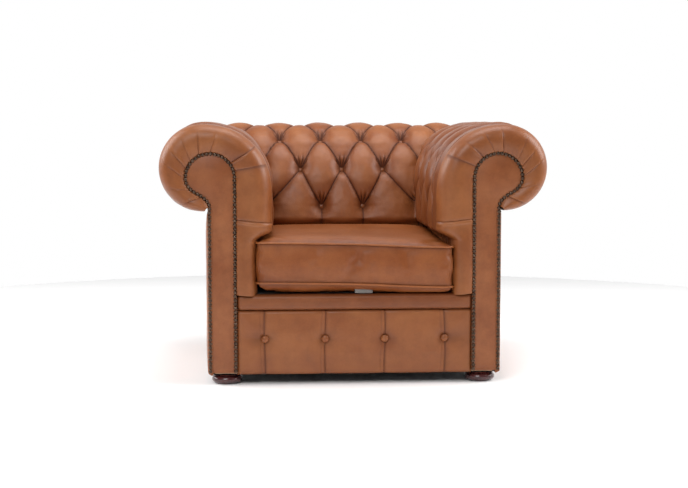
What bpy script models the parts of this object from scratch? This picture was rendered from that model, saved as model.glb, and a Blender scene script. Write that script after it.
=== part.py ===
"""Button-backed leather club armchair: frame, springs, padding, covers, trim and feet.

The chair faces -Y, +X is to its right as drawn, +Z is up. The origin is on the floor under the
middle of its bounding box. Every piece is a separate object.
"""
import math

import bmesh
import bpy
from mathutils import Vector

# ---- driving dimensions, metres ---------------------------------------------------------------
WIDTH = 1.05                 # over both arm rolls
DEPTH = 0.88                 # seat cushion's front to the back roll
HEIGHT = 0.702               # floor to the top of the rolls

ROLL_RADIUS = 0.115          # leather surface of the arm and back rolls
INNER_TOP_Z = 0.515          # where the arm's inner face starts to curve over
ARM_WIDTH = 0.2525           # outside of the roll to the leather beside the cushion
ARM_OVERHANG = 0.046         # how far the arm bulges over the cushion
SHOULDER_POWER = 2.2         # fullness of the curve from inner face to roll top
CORNER_RADIUS = 0.10         # outer corner between the arm roll and the back roll
BACK_LEAN = 0.0465           # how far the inside back leans rearwards over its height
BACK_FILL = 0.0370           # how much fuller the back is than the arms behind the cushion

CROWN_CLEAR = 0.008          # height beside the cushion's crown before the arm bulges over it
BULGE_RISE = 0.018           # height over which it bulges
BULGE_EASE = 0.012           # last part of the bulge, which eases into the upright
BULGE_END = 0.055            # the upright starts below the shoulder by this

ARM_PADDING = 0.0511         # from the leather beside the cushion to the facing's nail line
SCROLL_DROP = 0.027          # centre of the facing's scroll below the roll's centre
SCROLL_RADIUS = 0.0655       # nail line round the scroll
SCROLL_END = -62.0           # where the scroll turns into the neck, degrees
SCROLL_SQUASH = 0.75         # height of the scroll's lower half for its width
PANEL_TUCK = 0.0064          # outside panel's face inside the roll's lowest line
PANEL_THICKNESS = 0.0072
PANEL_EDGE = 0.003

SEAT_Z = 0.2455              # top of the platform
APRON_TOP = 0.202
BODY_BOTTOM = 0.027          # lower edge of the upholstery
FACING_RECESS = 0.015        # facing panels sit behind the front-most line by this
FACING_THICKNESS = 0.015
BORDER_DEPTH = 0.045         # padded front border, front to back
BORDER_NOSE = 0.005          # border's nose behind the cushion's front
BORDER_STEPS = 5
BORDER_POWER = 0.75          # fullness of the border's nose

CUSHION_SIDE_GAP = 0.0105    # cushion's seam to the leather of the arm beside it
CUSHION_TOP_SEAM = 0.383
CUSHION_BOTTOM_SEAM = 0.2745
CUSHION_CROWN = 0.397
CUSHION_CORNER = 0.045
CUSHION_SKIN = 0.0018
PIPING_RADIUS = 0.0025

SKIN = 0.0018                # leather of the arms and back
GAP = 0.0003                 # between pieces that touch
PAD_GAP = 0.0010             # between the leather and the padding inside it
MITRE_GAP = 0.0012           # between the arm and back upholstery at the corner

RAIL_THICKNESS = 0.030
RAIL_TOP = 0.1985
TOP_RAIL_DROP = 0.025        # top rail's underside below the scroll's centre
TOP_RAIL_RISE = 0.015        # top rail's upper face above the scroll's centre
TACKING_THICKNESS = 0.025
TACKING_HEIGHT = 0.040
DECK_CLEAR = 0.002           # tacking rails above the platform
WOOD_EDGE = 0.004
POST_SIZE = 0.052
POST_INSET = 0.0034          # post behind the nail line
POST_CLEAR = 0.015           # least room between a post and the outside of the hollow it stands in
FRAME_BOTTOM = 0.0292
BLOCK_SIZE = 0.055
BLOCK_HEIGHT = 0.045
BLOCK_DROP = 0.020           # corner block's top below the rail's
FOOT_RADIUS = 0.0415
FOOT_SET = 0.021             # foot centre outside the post's inner face
FOOT_INSET = 0.045           # foot centre behind the facing's front
REAR_FOOT_INSET = 0.025      # foot centre in front of the rear post's back
STUD_RADIUS = 0.004
STUD_LENGTH = 0.030
STUD_CLEAR = 0.002           # hole beyond the stud's end
LINING_INSET = 0.002         # dust cover inside the facings and the rear panel
LINING_SIDE = 0.0068         # and inside the side panels
BUTTON_RADIUS = 0.0105
BUTTON_SHARES = (-0.766, -0.254, 0.254, 0.766)     # places across half the apron
BUTTON_Z = 0.124
BAND_PROUD = 0.004           # band and apron stand in front of the facings by these
APRON_PROUD = 0.002
BAND_EDGE = 0.006
APRON_EDGE = 0.005
SPRING_COUNT = 5
SPRING_WIRE = 0.0019
SPRING_PITCH = 0.040
SPRING_SWING = 0.024
SPRING_ARCH = 0.026
SPRING_END = 0.006           # spring's end from the face of the rail
SPRING_MARGIN = 0.075        # outer springs inside the posts
ZIP_LENGTH = 0.43
ZIP_HEIGHT = 0.0075
TAB_WIDTH = 0.048
TAB_X = 0.024
TAB_HEIGHT = 0.0064
TAB_THICKNESS = 0.0008
TAB_INSET = 0.002            # tab's rear face behind the cushion's front
SLOT_REACH = 0.006           # zip slot's cutter to each side of the cushion's rear
SLIDER_START = 0.012         # slider from the closed end of the zip

# ---- worked out from them -----------------------------------------------------------------------
ROLL_X = WIDTH / 2 - ROLL_RADIUS
ROLL_Z = HEIGHT - ROLL_RADIUS
FRONT_Y = -DEPTH / 2
BACK_SHIFT = DEPTH / 2 - WIDTH / 2          # from a half-width on the arm to a depth on the back
BORDER_FRONT = FRONT_Y + BORDER_NOSE
BORDER_BACK = BORDER_FRONT + BORDER_DEPTH
FACING_FRONT = FRONT_Y + FACING_RECESS
FACING_BACK = FACING_FRONT + FACING_THICKNESS
ARM_BOTTOM = SEAT_Z + 0.001
INNER_SEAT = WIDTH / 2 - ARM_WIDTH          # half the gap between the arms beside the cushion
INNER_BULGE = INNER_SEAT - ARM_OVERHANG     # half the gap between the arms above the cushion
CUSHION_HALF_WIDTH = INNER_SEAT - CUSHION_SIDE_GAP
NAIL_RADIUS = 0.004
FACING_MARGIN = 0.0046                      # facing edge outside the nail line
BOARD_INNER = INNER_SEAT + ARM_PADDING      # nail line, inner upright of the facing
FRONT_HALF = BOARD_INNER - FACING_MARGIN - GAP      # half the width between the facings
PANEL_OUTER = ROLL_X - PANEL_TUCK
PANEL_INNER = PANEL_OUTER - PANEL_THICKNESS
BOARD_OUTER = PANEL_INNER - GAP - FACING_MARGIN     # nail line, outer upright
SCROLL_Z = ROLL_Z - SCROLL_DROP
CUSHION_FRONT = FRONT_Y + 2 * PIPING_RADIUS + GAP
CUSHION_BOTTOM = SEAT_Z + 0.001
DECK_THICKNESS = 0.014
POST_INNER = BOARD_INNER + POST_INSET
POST_OUTER = min(POST_INNER + POST_SIZE, PANEL_INNER - POST_CLEAR)
FOOT_X = POST_INNER + FOOT_SET
FRONT_POST_FRONT = FACING_BACK + GAP
BACK_POST_FRONT = POST_INNER + BACK_SHIFT
BACK_POST_REAR = POST_OUTER + BACK_SHIFT

LEATHER = ("leather", (0.30, 0.105, 0.045, 1), 0.42, 0.0)
FOAM = ("foam", (0.80, 0.72, 0.48, 1), 0.95, 0.0)
BEECH = ("beech", (0.60, 0.42, 0.25, 1), 0.6, 0.0)
MAHOGANY = ("mahogany", (0.055, 0.015, 0.018, 1), 0.3, 0.0)
BRASS = ("antique_brass", (0.16, 0.12, 0.07, 1), 0.35, 1.0)
STEEL = ("spring_steel", (0.35, 0.35, 0.36, 1), 0.4, 1.0)
CLOTH = ("black_cloth", (0.02, 0.02, 0.022, 1), 0.95, 0.0)
ZIP_FINISH = ("zip_brown", (0.09, 0.04, 0.025, 1), 0.7, 0.0)
TAB_FINISH = ("pale_tape", (0.62, 0.62, 0.60, 1), 0.85, 0.0)


# ---- scene set-up and helpers ---------------------------------------------------------------------
def clear_scene():
    for item in list(bpy.data.objects):
        bpy.data.objects.remove(item, do_unlink=True)


def new_collection(name):
    group = bpy.data.collections.new(name)
    bpy.context.scene.collection.children.link(group)
    return group


def finish_material(finish):
    name, colour, roughness, metallic = finish
    found = bpy.data.materials.get(name)
    if found:
        return found
    made = bpy.data.materials.new(name)
    made.use_nodes = True
    shader = made.node_tree.nodes["Principled BSDF"]
    shader.inputs["Base Color"].default_value = colour
    shader.inputs["Roughness"].default_value = roughness
    shader.inputs["Metallic"].default_value = metallic
    return made


def add_object(name, data, finish, group=None):
    made = bpy.data.objects.new(name, data)
    data.materials.append(finish_material(finish))
    (group or PARTS).objects.link(made)
    return made


def mesh_from(bm, name):
    bmesh.ops.recalc_face_normals(bm, faces=bm.faces)
    data = bpy.data.meshes.new(name)
    bm.to_mesh(data)
    bm.free()
    return data


def smooth(made, angle=40):
    made.data.shade_smooth()
    made.data.set_sharp_from_angle(angle=math.radians(angle))


def bevel(made, width, segments=1):
    modifier = made.modifiers.new("rounded_edges", "BEVEL")
    modifier.width = width
    modifier.segments = segments
    modifier.limit_method = "ANGLE"


def box(name, low, high, finish, round_edge=0.0, segments=1, group=None):
    """A box between two corners, placed by its location, with an optional rounded edge."""
    low, high = Vector(low), Vector(high)
    bm = bmesh.new()
    bmesh.ops.create_cube(bm, size=1.0)
    bmesh.ops.scale(bm, vec=high - low, verts=bm.verts)
    made = add_object(name, mesh_from(bm, name), finish, group)
    made.location = (low + high) / 2
    if round_edge:
        bevel(made, round_edge, segments)
    return made


def cylinder_cutter(name, radius, low_z, high_z, x, y):
    bm = bmesh.new()
    bmesh.ops.create_cone(bm, cap_ends=True, segments=16, radius1=radius, radius2=radius,
                          depth=high_z - low_z)
    made = add_object(name, mesh_from(bm, name), BEECH, CUTTERS)
    made.location = (x, y, (low_z + high_z) / 2)
    hide_cutter(made)
    return made


def hide_cutter(made):
    made.hide_render = True
    made.display_type = "WIRE"


def cut(made, cutter):
    modifier = made.modifiers.new("cut", "BOOLEAN")
    modifier.operation = "DIFFERENCE"
    modifier.solver = "EXACT"
    modifier.object = cutter


def skinned(name, rings, finish, fill_end, sharp=40, group=None):
    """A closed solid skinned over rings of equal length; fill_end closes each end ring."""
    bm = bmesh.new()
    loops = [[bm.verts.new(point) for point in ring] for ring in rings]
    for lower, upper in zip(loops, loops[1:]):
        for i in range(len(lower)):
            j = (i + 1) % len(lower)
            bm.faces.new((lower[i], lower[j], upper[j], upper[i]))
    fill_end(bm, loops[0])
    fill_end(bm, loops[-1])
    made = add_object(name, mesh_from(bm, name), finish, group)
    smooth(made, sharp)
    return made


def fill_flat(bm, ring):
    bm.faces.new(ring)


def fill_strip(bm, ring):
    """Closes a ring made of an outer run and a returning inner run with a strip of quads."""
    half = len(ring) // 2
    for i in range(half - 1):
        bm.faces.new((ring[i], ring[i + 1], ring[-2 - i], ring[-1 - i]))


def turned(name, profile, finish, steps=24):
    """A solid turned about Z from (radius, height) points that run from top to bottom."""
    bm = bmesh.new()
    verts = [bm.verts.new((radius, 0.0, height)) for radius, height in profile]
    for a, b in zip(verts, verts[1:]):
        bm.edges.new((a, b))
    data = bpy.data.meshes.new(name)
    bm.to_mesh(data)
    bm.free()
    made = add_object(name, data, finish)
    screw = made.modifiers.new("turned", "SCREW")
    screw.steps = steps
    screw.render_steps = steps
    screw.use_merge_vertices = True
    screw.merge_threshold = 0.00001
    smooth(made)
    return made


def tube(name, points, radius, finish, closed=False, resolution=2):
    """A round wire through the points, as a curve with a bevel."""
    data = bpy.data.curves.new(name, "CURVE")
    data.dimensions = "3D"
    data.bevel_depth = radius
    data.bevel_resolution = resolution
    data.use_fill_caps = not closed
    spline = data.splines.new("POLY")
    spline.points.add(len(points) - 1)
    for slot, point in zip(spline.points, points):
        slot.co = (*point, 1.0)
    spline.use_cyclic_u = closed
    return add_object(name, data, finish)


def outline_plate(name, outline, y_front, y_back, finish):
    """A flat plate of an (x, z) outline, standing in the XZ plane between two depths."""
    data = bpy.data.curves.new(name, "CURVE")
    data.dimensions = "2D"
    data.fill_mode = "BOTH"
    data.extrude = (y_back - y_front) / 2
    spline = data.splines.new("POLY")
    spline.points.add(len(outline) - 1)
    for slot, (x, z) in zip(spline.points, outline):
        slot.co = (x, z, 0.0, 1.0)
    spline.use_cyclic_u = True
    made = add_object(name, data, finish)
    made.rotation_euler = (math.radians(90), 0.0, 0.0)
    made.location = (0.0, (y_front + y_back) / 2, 0.0)
    return made


def arc(centre_x, centre_z, radius, start, end, count):
    """Points round an arc, in degrees, both ends included."""
    points = []
    for i in range(count):
        angle = math.radians(start + (end - start) * i / (count - 1))
        points.append((centre_x + radius * math.cos(angle), centre_z + radius * math.sin(angle)))
    return points


def mirror_x(points):
    return [(-x, *rest) for x, *rest in points]


def span(side, near, far):
    """The two x values of a piece on one side of the chair, the lower one first."""
    return sorted((side * near, side * far))


# ---- arm and back section -------------------------------------------------------------------------
UPRIGHT_STEPS = 4
SHOULDER_STEPS = 9
ROLL_STEPS = 13
NECK_STEPS = 3
NECK_CLEAR = 0.0115                         # neck ends above the underside of the roll
NECK_TURN = 0.003                           # and at least this far below its bend
LEAN_END = 0.04                             # the back stops leaning above the roll's centre by this
LEAST_CORNER = 0.04                         # least share of the corner radius, at the nail line
UNDERSIDE_ANGLE = -92.0


def outer_section(inset=0.0):
    """The leather line of the arm, from beside the cushion up, over the roll and underneath."""
    bulge = INNER_BULGE + inset
    fold = CUSHION_CROWN + CROWN_CLEAR
    points = [(INNER_SEAT + inset, ARM_BOTTOM), (INNER_SEAT + inset, fold),
              (bulge + BULGE_EASE, fold + BULGE_RISE), (bulge, INNER_TOP_Z - BULGE_END)]
    reach_x = ROLL_X - bulge
    reach_z = HEIGHT - inset - INNER_TOP_Z
    for i in range(SHOULDER_STEPS):
        angle = math.radians(90.0 * i / SHOULDER_STEPS)
        x = ROLL_X - reach_x * math.cos(angle) ** (2 / SHOULDER_POWER)
        z = INNER_TOP_Z + reach_z * math.sin(angle) ** (2 / SHOULDER_POWER)
        points.append((x, z))
    points += arc(ROLL_X, ROLL_Z, ROLL_RADIUS - inset, 90.0, UNDERSIDE_ANGLE, ROLL_STEPS)
    return points


def nail_line():
    """The facing's nail line from the scroll's inner side, over the top and down to the neck."""
    centre_x = BOARD_INNER + SCROLL_RADIUS
    points = arc(centre_x, SCROLL_Z, SCROLL_RADIUS, 180.0, 90.0, SHOULDER_STEPS + 1)[:-1]
    points += arc(centre_x, SCROLL_Z, SCROLL_RADIUS, 90.0, SCROLL_END, ROLL_STEPS - NECK_STEPS)
    points = [(x, max(z, SCROLL_Z + (z - SCROLL_Z) * SCROLL_SQUASH)) for x, z in points]
    # The neck is a curve that leaves the scroll along its tangent and ends on the outer upright.
    start = Vector(points[-1])
    angle = math.radians(SCROLL_END)
    heading = Vector((math.sin(angle), -math.cos(angle) * SCROLL_SQUASH))
    bend = start + heading * ((BOARD_OUTER - start.x) / heading.x)
    foot = Vector((BOARD_OUTER, min(ROLL_Z - ROLL_RADIUS + NECK_CLEAR, bend.y - NECK_TURN)))
    for i in range(1, NECK_STEPS + 1):
        t = i / NECK_STEPS
        point = start * (1 - t) ** 2 + bend * (2 * t * (1 - t)) + foot * t ** 2
        points.append((point.x, point.y))
    return points


def offset_line(points, distance):
    """Moves a line outwards; it runs up, over and down, and its ends are upright."""
    ends = [(points[0][0], points[0][1] - 1.0)] + points + [(points[-1][0], points[-1][1] - 1.0)]
    moved = []
    for before, here, after in zip(ends, ends[1:], ends[2:]):
        first = (Vector(here) - Vector(before)).normalized()
        second = (Vector(after) - Vector(here)).normalized()
        heading = (first + second).normalized()
        reach = distance / max(0.5, heading.dot(first))
        moved.append((here[0] - heading.y * reach, here[1] + heading.x * reach))
    return moved


def board_section(offset):
    """The line that the padding closes on, point for point with the outer section."""
    inner = BOARD_INNER - offset
    points = [(inner, z) for x, z in outer_section()[:UPRIGHT_STEPS]]
    return points + offset_line(nail_line(), offset)


def facing_outline(offset):
    """Outline of the facing: two uprights joined by the scroll."""
    inner_foot = (BOARD_INNER - offset, BODY_BOTTOM)
    outer_foot = (BOARD_OUTER + offset, BODY_BOTTOM)
    return [inner_foot] + offset_line(nail_line(), offset) + [outer_foot]


def fullness(x, z):
    """How far the inside back stands forward of an upright back, for a point on the leather line."""
    rise = min(1.0, max(0.0, (z - CUSHION_CROWN) / (ROLL_Z + LEAN_END - CUSHION_CROWN)))
    reach = min(1.0, max(0.0, (ROLL_X - x) / (ROLL_X - INNER_BULGE)))
    fill = min(1.0, max(0.0, (x - INNER_BULGE) / (INNER_SEAT - INNER_BULGE)))
    return (BACK_LEAN + BACK_FILL * fill) * reach * (1.0 - rise)


def corner_radius(x):
    share = (x - BOARD_INNER) / (WIDTH / 2 - BOARD_INNER)
    return CORNER_RADIUS * min(1.0, max(LEAST_CORNER, share))


def corner_ring(section, turn, leaning):
    """Section swung round the rear corner: turn 0 is along the arm, 90 is along the back."""
    ring = []
    angle = math.radians(turn)
    for (x, z), (base_x, base_z) in zip(section, outer_section()):
        radius = corner_radius(x)
        depth = x + BACK_SHIFT - (fullness(base_x, base_z) if leaning else 0.0)
        across = x - radius + radius * math.cos(angle)
        ring.append((across, depth - radius + radius * math.sin(angle), z))
    return ring


def shell_ring(outer, inner, turn):
    """Closed ring: outer line out, inner line back. The board line is upright on the back."""
    leaning = inner[0][0] < (INNER_SEAT + BOARD_INNER) / 2
    return corner_ring(outer, turn, True) + corner_ring(inner, turn, leaning)[::-1]


def arm_upholstery(name, outer, inner, start_y, finish, side):
    rings = [[(x, start_y, z) for x, z in outer + inner[::-1]]]
    for turn in (0.0, 22.5, 45.0):
        ring = shell_ring(outer, inner, turn)
        rings.append([(x, y - MITRE_GAP * turn / 45.0, z) for x, y, z in ring])
    if side < 0:
        rings = [mirror_x(ring) for ring in rings]
    return skinned(name, rings, finish, fill_strip)


def back_upholstery(name, outer, inner, finish):
    right = [shell_ring(outer, inner, turn) for turn in (45.0, 67.5, 90.0)]
    left = [mirror_x(ring) for ring in right[::-1]]
    return skinned(name, right + left, finish, fill_strip)


def front_border(name, side):
    """Padded border round the facing: a half-round nose closed by a flat back."""
    outer = outer_section()
    inner = board_section(FACING_MARGIN + GAP)
    rings = []
    for (ox, oz), (ix, iz) in zip(outer, inner):
        ring = []
        for i in range(BORDER_STEPS + 1):
            angle = math.pi * i / BORDER_STEPS
            share = (1.0 - math.cos(angle)) / 2
            back = BORDER_BACK - (BORDER_BACK - FACING_BACK) * share
            y = back - (back - BORDER_FRONT) * math.sin(angle) ** BORDER_POWER
            ring.append((ox + (ix - ox) * share, y, oz + (iz - oz) * share))
        ring.append((ix, BORDER_BACK, iz))
        rings.append(ring if side > 0 else mirror_x(ring))
    return skinned(name, rings, LEATHER, fill_flat, 50)


def make_upholstery():
    leather = outer_section()
    leather_back = outer_section(SKIN)
    pad_face = outer_section(SKIN + PAD_GAP)
    board = board_section(FACING_MARGIN + GAP)
    start = BORDER_BACK + GAP
    for side, word in SIDES:
        arm_upholstery(f"arm_cover_{word}", leather, leather_back, start, LEATHER, side)
        arm_upholstery(f"arm_pad_{word}", pad_face, board, start, FOAM, side)
        front_border(f"arm_front_border_{word}", side)
    back_upholstery("back_cover", leather, leather_back, LEATHER)
    back_upholstery("back_pad", pad_face, board, FOAM)


# ---- facings and nail trim ------------------------------------------------------------------------
def make_facings():
    for side, word in SIDES:
        outline = facing_outline(FACING_MARGIN)
        line = facing_outline(0.0)
        line[0] = (line[0][0], line[0][1] + NAIL_RADIUS)
        line[-1] = (line[-1][0], line[-1][1] + NAIL_RADIUS)
        nail_y = FACING_FRONT - NAIL_RADIUS - GAP
        path = [(side * x, nail_y, z) for x, z in line]
        if side < 0:
            outline = mirror_x(outline)
        outline_plate(f"arm_facing_{word}", outline, FACING_FRONT, FACING_BACK, LEATHER)
        tube(f"nail_trim_{word}", path, NAIL_RADIUS, BRASS, resolution=1)


# ---- outside panels, band, apron ------------------------------------------------------------------
def make_panels():
    top = ROLL_Z - ROLL_RADIUS - GAP * 2
    rear = PANEL_OUTER + BACK_SHIFT
    for side, word in SIDES:
        x0, x1 = span(side, PANEL_INNER, PANEL_OUTER)
        box(f"arm_outside_panel_{word}", (x0, FACING_FRONT, BODY_BOTTOM),
            (x1, rear - PANEL_THICKNESS - GAP, top), LEATHER, PANEL_EDGE)
    box("back_outside_panel", (-PANEL_OUTER, rear - PANEL_THICKNESS, BODY_BOTTOM),
        (PANEL_OUTER, rear, top), LEATHER, PANEL_EDGE)
    half = FRONT_HALF
    rail_front = FRONT_POST_FRONT + GAP
    box("seat_front_band", (-half, FACING_FRONT - BAND_PROUD, APRON_TOP + GAP),
        (half, rail_front - GAP, SEAT_Z), LEATHER, BAND_EDGE, 2)
    box("front_apron", (-half, FACING_FRONT - APRON_PROUD, BODY_BOTTOM),
        (half, rail_front - GAP, APRON_TOP), LEATHER, APRON_EDGE, 2)


def make_apron_buttons():
    """Covered buttons: a low dome on a short upright edge."""
    shape = ((0.0, 0.48), (0.43, 0.42), (0.76, 0.26), (1.0, 0.06), (1.0, 0.0), (0.0, 0.0))
    dome = [(BUTTON_RADIUS * across, BUTTON_RADIUS * height) for across, height in shape]
    front = FACING_FRONT - APRON_PROUD - GAP
    for number, share in enumerate(BUTTON_SHARES, 1):
        made = turned(f"apron_button_{number}", dome, LEATHER, 14)
        made.rotation_euler = (math.radians(90), 0.0, 0.0)
        made.location = (share * FRONT_HALF, front, BUTTON_Z)


# ---- hardwood frame -------------------------------------------------------------------------------
def make_frame():
    front = FRONT_POST_FRONT
    front_rear = front + POST_SIZE
    post_top = SCROLL_Z - TOP_RAIL_DROP
    rail_top = SCROLL_Z + TOP_RAIL_RISE
    tack_low = SEAT_Z + DECK_CLEAR
    tack_high = tack_low + TACKING_HEIGHT
    for side, word in SIDES:
        x0, x1 = span(side, POST_INNER, POST_OUTER)
        box(f"arm_post_{word}", (x0, front, FRAME_BOTTOM), (x1, front_rear, post_top), BEECH)
        box(f"back_post_{word}", (x0, BACK_POST_FRONT, FRAME_BOTTOM),
            (x1, BACK_POST_REAR, post_top), BEECH)
        box(f"arm_top_rail_{word}", (x0, front, post_top + GAP),
            (x1, BACK_POST_REAR, rail_top), BEECH, WOOD_EDGE)
        x0, x1 = span(side, POST_OUTER - RAIL_THICKNESS, POST_OUTER)
        box(f"seat_rail_{word}", (x0, front_rear + GAP, FRAME_BOTTOM),
            (x1, BACK_POST_FRONT - GAP, RAIL_TOP), BEECH)
        x0, x1 = span(side, POST_INNER, POST_INNER + TACKING_THICKNESS)
        box(f"arm_tacking_rail_{word}", (x0, front_rear + GAP, tack_low),
            (x1, BACK_POST_FRONT - GAP, tack_high), BEECH)
    inner = POST_INNER - GAP
    box("seat_rail_front", (-inner, front + GAP, FRAME_BOTTOM),
        (inner, front + RAIL_THICKNESS, RAIL_TOP), BEECH)
    box("seat_rail_rear", (-inner, BACK_POST_REAR - RAIL_THICKNESS, FRAME_BOTTOM),
        (inner, BACK_POST_REAR, RAIL_TOP), BEECH)
    box("back_tacking_rail", (-inner, BACK_POST_FRONT, tack_low),
        (inner, BACK_POST_FRONT + TACKING_THICKNESS, tack_high), BEECH)
    box("back_top_rail", (-inner, BACK_POST_FRONT, post_top), (inner, BACK_POST_REAR, rail_top),
        BEECH, WOOD_EDGE)


def make_feet():
    """Corner blocks in the angle of each post, and the bun feet that screw up into the posts."""
    height = BODY_BOTTOM - GAP
    bun = ((0.82, 0.0), (0.93, 0.15), (1.0, 0.38), (0.93, 0.64), (0.82, 0.85), (0.70, 1.0), (0.0, 1.0))
    profile = [(0.0, STUD_LENGTH), (STUD_RADIUS, STUD_LENGTH), (STUD_RADIUS, 0.0)]
    profile += [(FOOT_RADIUS * across, -height * drop) for across, drop in bun]
    front_y = FACING_FRONT + FOOT_INSET
    rear_y = BACK_POST_REAR - REAR_FOOT_INSET
    front_near = FRONT_POST_FRONT + RAIL_THICKNESS + GAP
    rear_near = BACK_POST_REAR - RAIL_THICKNESS - GAP - BLOCK_SIZE
    rows = (("front", "arm", front_y, front_near), ("rear", "back", rear_y, rear_near))
    block_top = RAIL_TOP - BLOCK_DROP
    for row, post, y, near in rows:
        for side, word in SIDES:
            foot = turned(f"foot_{row}_{word}", profile, MAHOGANY, 24)
            foot.location = (side * FOOT_X, y, height)
            hole = cylinder_cutter(f"stud_hole_{row}_{word}", STUD_RADIUS + GAP, 0.0,
                                   BODY_BOTTOM + STUD_LENGTH + STUD_CLEAR, side * FOOT_X, y)
            cut(bpy.data.objects[f"{post}_post_{word}"], hole)
            cut(bpy.data.objects["dust_cover"], hole)
            inner = POST_INNER - GAP * 2
            x0, x1 = span(side, inner - BLOCK_SIZE, inner)
            box(f"corner_block_{row}_{word}", (x0, near, block_top - BLOCK_HEIGHT),
                (x1, near + BLOCK_SIZE, block_top), BEECH, WOOD_EDGE)


def make_dust_cover():
    rear = PANEL_INNER + BACK_SHIFT - LINING_INSET
    half = PANEL_INNER - LINING_SIDE
    box("dust_cover", (-half, FACING_BACK + LINING_INSET, BODY_BOTTOM),
        (half, rear, FRAME_BOTTOM - GAP), CLOTH)


# ---- seat suspension ------------------------------------------------------------------------------
def make_springs():
    """Zig-zag springs that rest on the front and rear rails and arch up under the platform."""
    start = FRONT_POST_FRONT + SPRING_END
    end = BACK_POST_REAR - SPRING_END
    waves = round((end - start) / SPRING_PITCH)
    step = (end - start) / waves
    outermost = POST_INNER - SPRING_MARGIN
    spread = 2 * outermost / (SPRING_COUNT - 1)
    base = RAIL_TOP + SPRING_WIRE + GAP
    for number in range(SPRING_COUNT):
        centre = spread * number - outermost
        points = []
        for wave in range(waves):
            sign = 1 if wave % 2 else -1
            for share, reach in ((0.0, 0.55), (0.25, 1.0), (0.75, 1.0)):
                y = start + (wave + share) * step
                along = (y - start) / (end - start)
                lift = SPRING_ARCH * math.sin(math.pi * along)
                points.append((centre + sign * SPRING_SWING * reach, y, base + lift))
        tube(f"seat_spring_{number + 1}", points, SPRING_WIRE, STEEL, resolution=0)


def make_deck():
    half = POST_INNER - GAP * 2
    box("seat_deck", (-half, FRONT_POST_FRONT + GAP, SEAT_Z - DECK_THICKNESS),
        (half, BACK_POST_REAR, SEAT_Z), CLOTH, 0.003)


# ---- seat cushion ---------------------------------------------------------------------------------
def rounded_ring(half_x, y0, y1, radius, z):
    """Rounded rectangle at height z."""
    corners = ((half_x - radius, y1 - radius, 0.0), (-half_x + radius, y1 - radius, 90.0),
               (-half_x + radius, y0 + radius, 180.0), (half_x - radius, y0 + radius, 270.0))
    ring = []
    for x, y, start in corners:
        for i in range(4):
            angle = math.radians(start + 30.0 * i)
            ring.append((x + radius * math.cos(angle), y + radius * math.sin(angle), z))
    return ring


def cushion_rear():
    face = INNER_SEAT + BACK_SHIFT - fullness(INNER_SEAT, ARM_BOTTOM)
    return face - 2 * PIPING_RADIUS - GAP * 4


def cushion_rings(inset):
    """Rings from the flat bottom over the boxed sides to the crowned top.

    Each level is a height and how far its ring is drawn in from the seams.
    """
    rise = CUSHION_CROWN - CUSHION_TOP_SEAM
    rear = cushion_rear() - inset
    front = CUSHION_FRONT + inset
    half = CUSHION_HALF_WIDTH - inset
    levels = ((CUSHION_BOTTOM + inset, 0.045), (CUSHION_BOTTOM + 0.008 + inset, 0.016),
              (CUSHION_BOTTOM_SEAM, 0.0), (CUSHION_TOP_SEAM, 0.0),
              (CUSHION_TOP_SEAM + 0.45 * rise - inset, 0.012),
              (CUSHION_TOP_SEAM + 0.80 * rise - inset, 0.045), (CUSHION_CROWN - inset, 0.12))
    return [rounded_ring(half - pull, front + pull, rear - pull, CUSHION_CORNER + pull / 3, z)
            for z, pull in levels]


def cushion_solid(name, inset, finish, group=None):
    return skinned(name, cushion_rings(inset), finish, fill_flat, 50, group)


def make_cushion():
    rear = cushion_rear()
    middle = (CUSHION_TOP_SEAM + CUSHION_BOTTOM_SEAM) / 2
    cover = cushion_solid("cushion_cover", 0.0, LEATHER)
    hollow = cushion_solid("cushion_hollow", CUSHION_SKIN, FOAM, CUTTERS)
    hide_cutter(hollow)
    slot = box("zip_slot", (-ZIP_LENGTH / 2, rear - SLOT_REACH, middle - ZIP_HEIGHT / 2),
               (ZIP_LENGTH / 2, rear + SLOT_REACH, middle + ZIP_HEIGHT / 2), FOAM, group=CUTTERS)
    hide_cutter(slot)
    cut(cover, hollow)
    cut(cover, slot)
    cushion_solid("cushion_core", CUSHION_SKIN + GAP, FOAM)
    box("cushion_zip", (-ZIP_LENGTH / 2 + GAP, rear - CUSHION_SKIN + GAP, middle - ZIP_HEIGHT / 2 + GAP),
        (ZIP_LENGTH / 2 - GAP, rear + GAP, middle + ZIP_HEIGHT / 2 - GAP), ZIP_FINISH)
    for word, height in (("top", CUSHION_TOP_SEAM), ("bottom", CUSHION_BOTTOM_SEAM)):
        out = PIPING_RADIUS + GAP
        loop = rounded_ring(CUSHION_HALF_WIDTH + out, CUSHION_FRONT - out, rear + out,
                            CUSHION_CORNER + out, height)
        tube(f"cushion_piping_{word}", loop, PIPING_RADIUS, LEATHER, closed=True, resolution=0)
    tab_y = CUSHION_FRONT + TAB_INSET
    box("cushion_tab", (TAB_X - TAB_WIDTH / 2, tab_y - TAB_THICKNESS, CUSHION_BOTTOM),
        (TAB_X + TAB_WIDTH / 2, tab_y, CUSHION_BOTTOM + TAB_HEIGHT), TAB_FINISH)
    make_slider(rear + GAP * 2, middle)


def make_slider(rear, middle):
    """Zip slider with its pull; its origin is on the zip's line at the closed end."""
    start = ZIP_LENGTH / 2 - SLIDER_START
    empty = bpy.data.objects.new("zip_slide_axis", None)
    PARTS.objects.link(empty)
    empty.location = (start, rear, middle)
    body = box("zip_slider", (-0.005, 0.0, -0.004), (0.005, 0.0022, 0.004), BRASS)
    pull = box("zip_pull", (-0.003, 0.0008, -0.022), (0.003, 0.0020, 0.0), BRASS, group=CUTTERS)
    hide_cutter(pull)
    for made in (body, pull):
        made.parent = empty
    joined = body.modifiers.new("joined_pull", "BOOLEAN")
    joined.operation = "UNION"
    joined.solver = "EXACT"
    joined.object = pull


SIDES = ((-1, "left"), (1, "right"))

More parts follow.
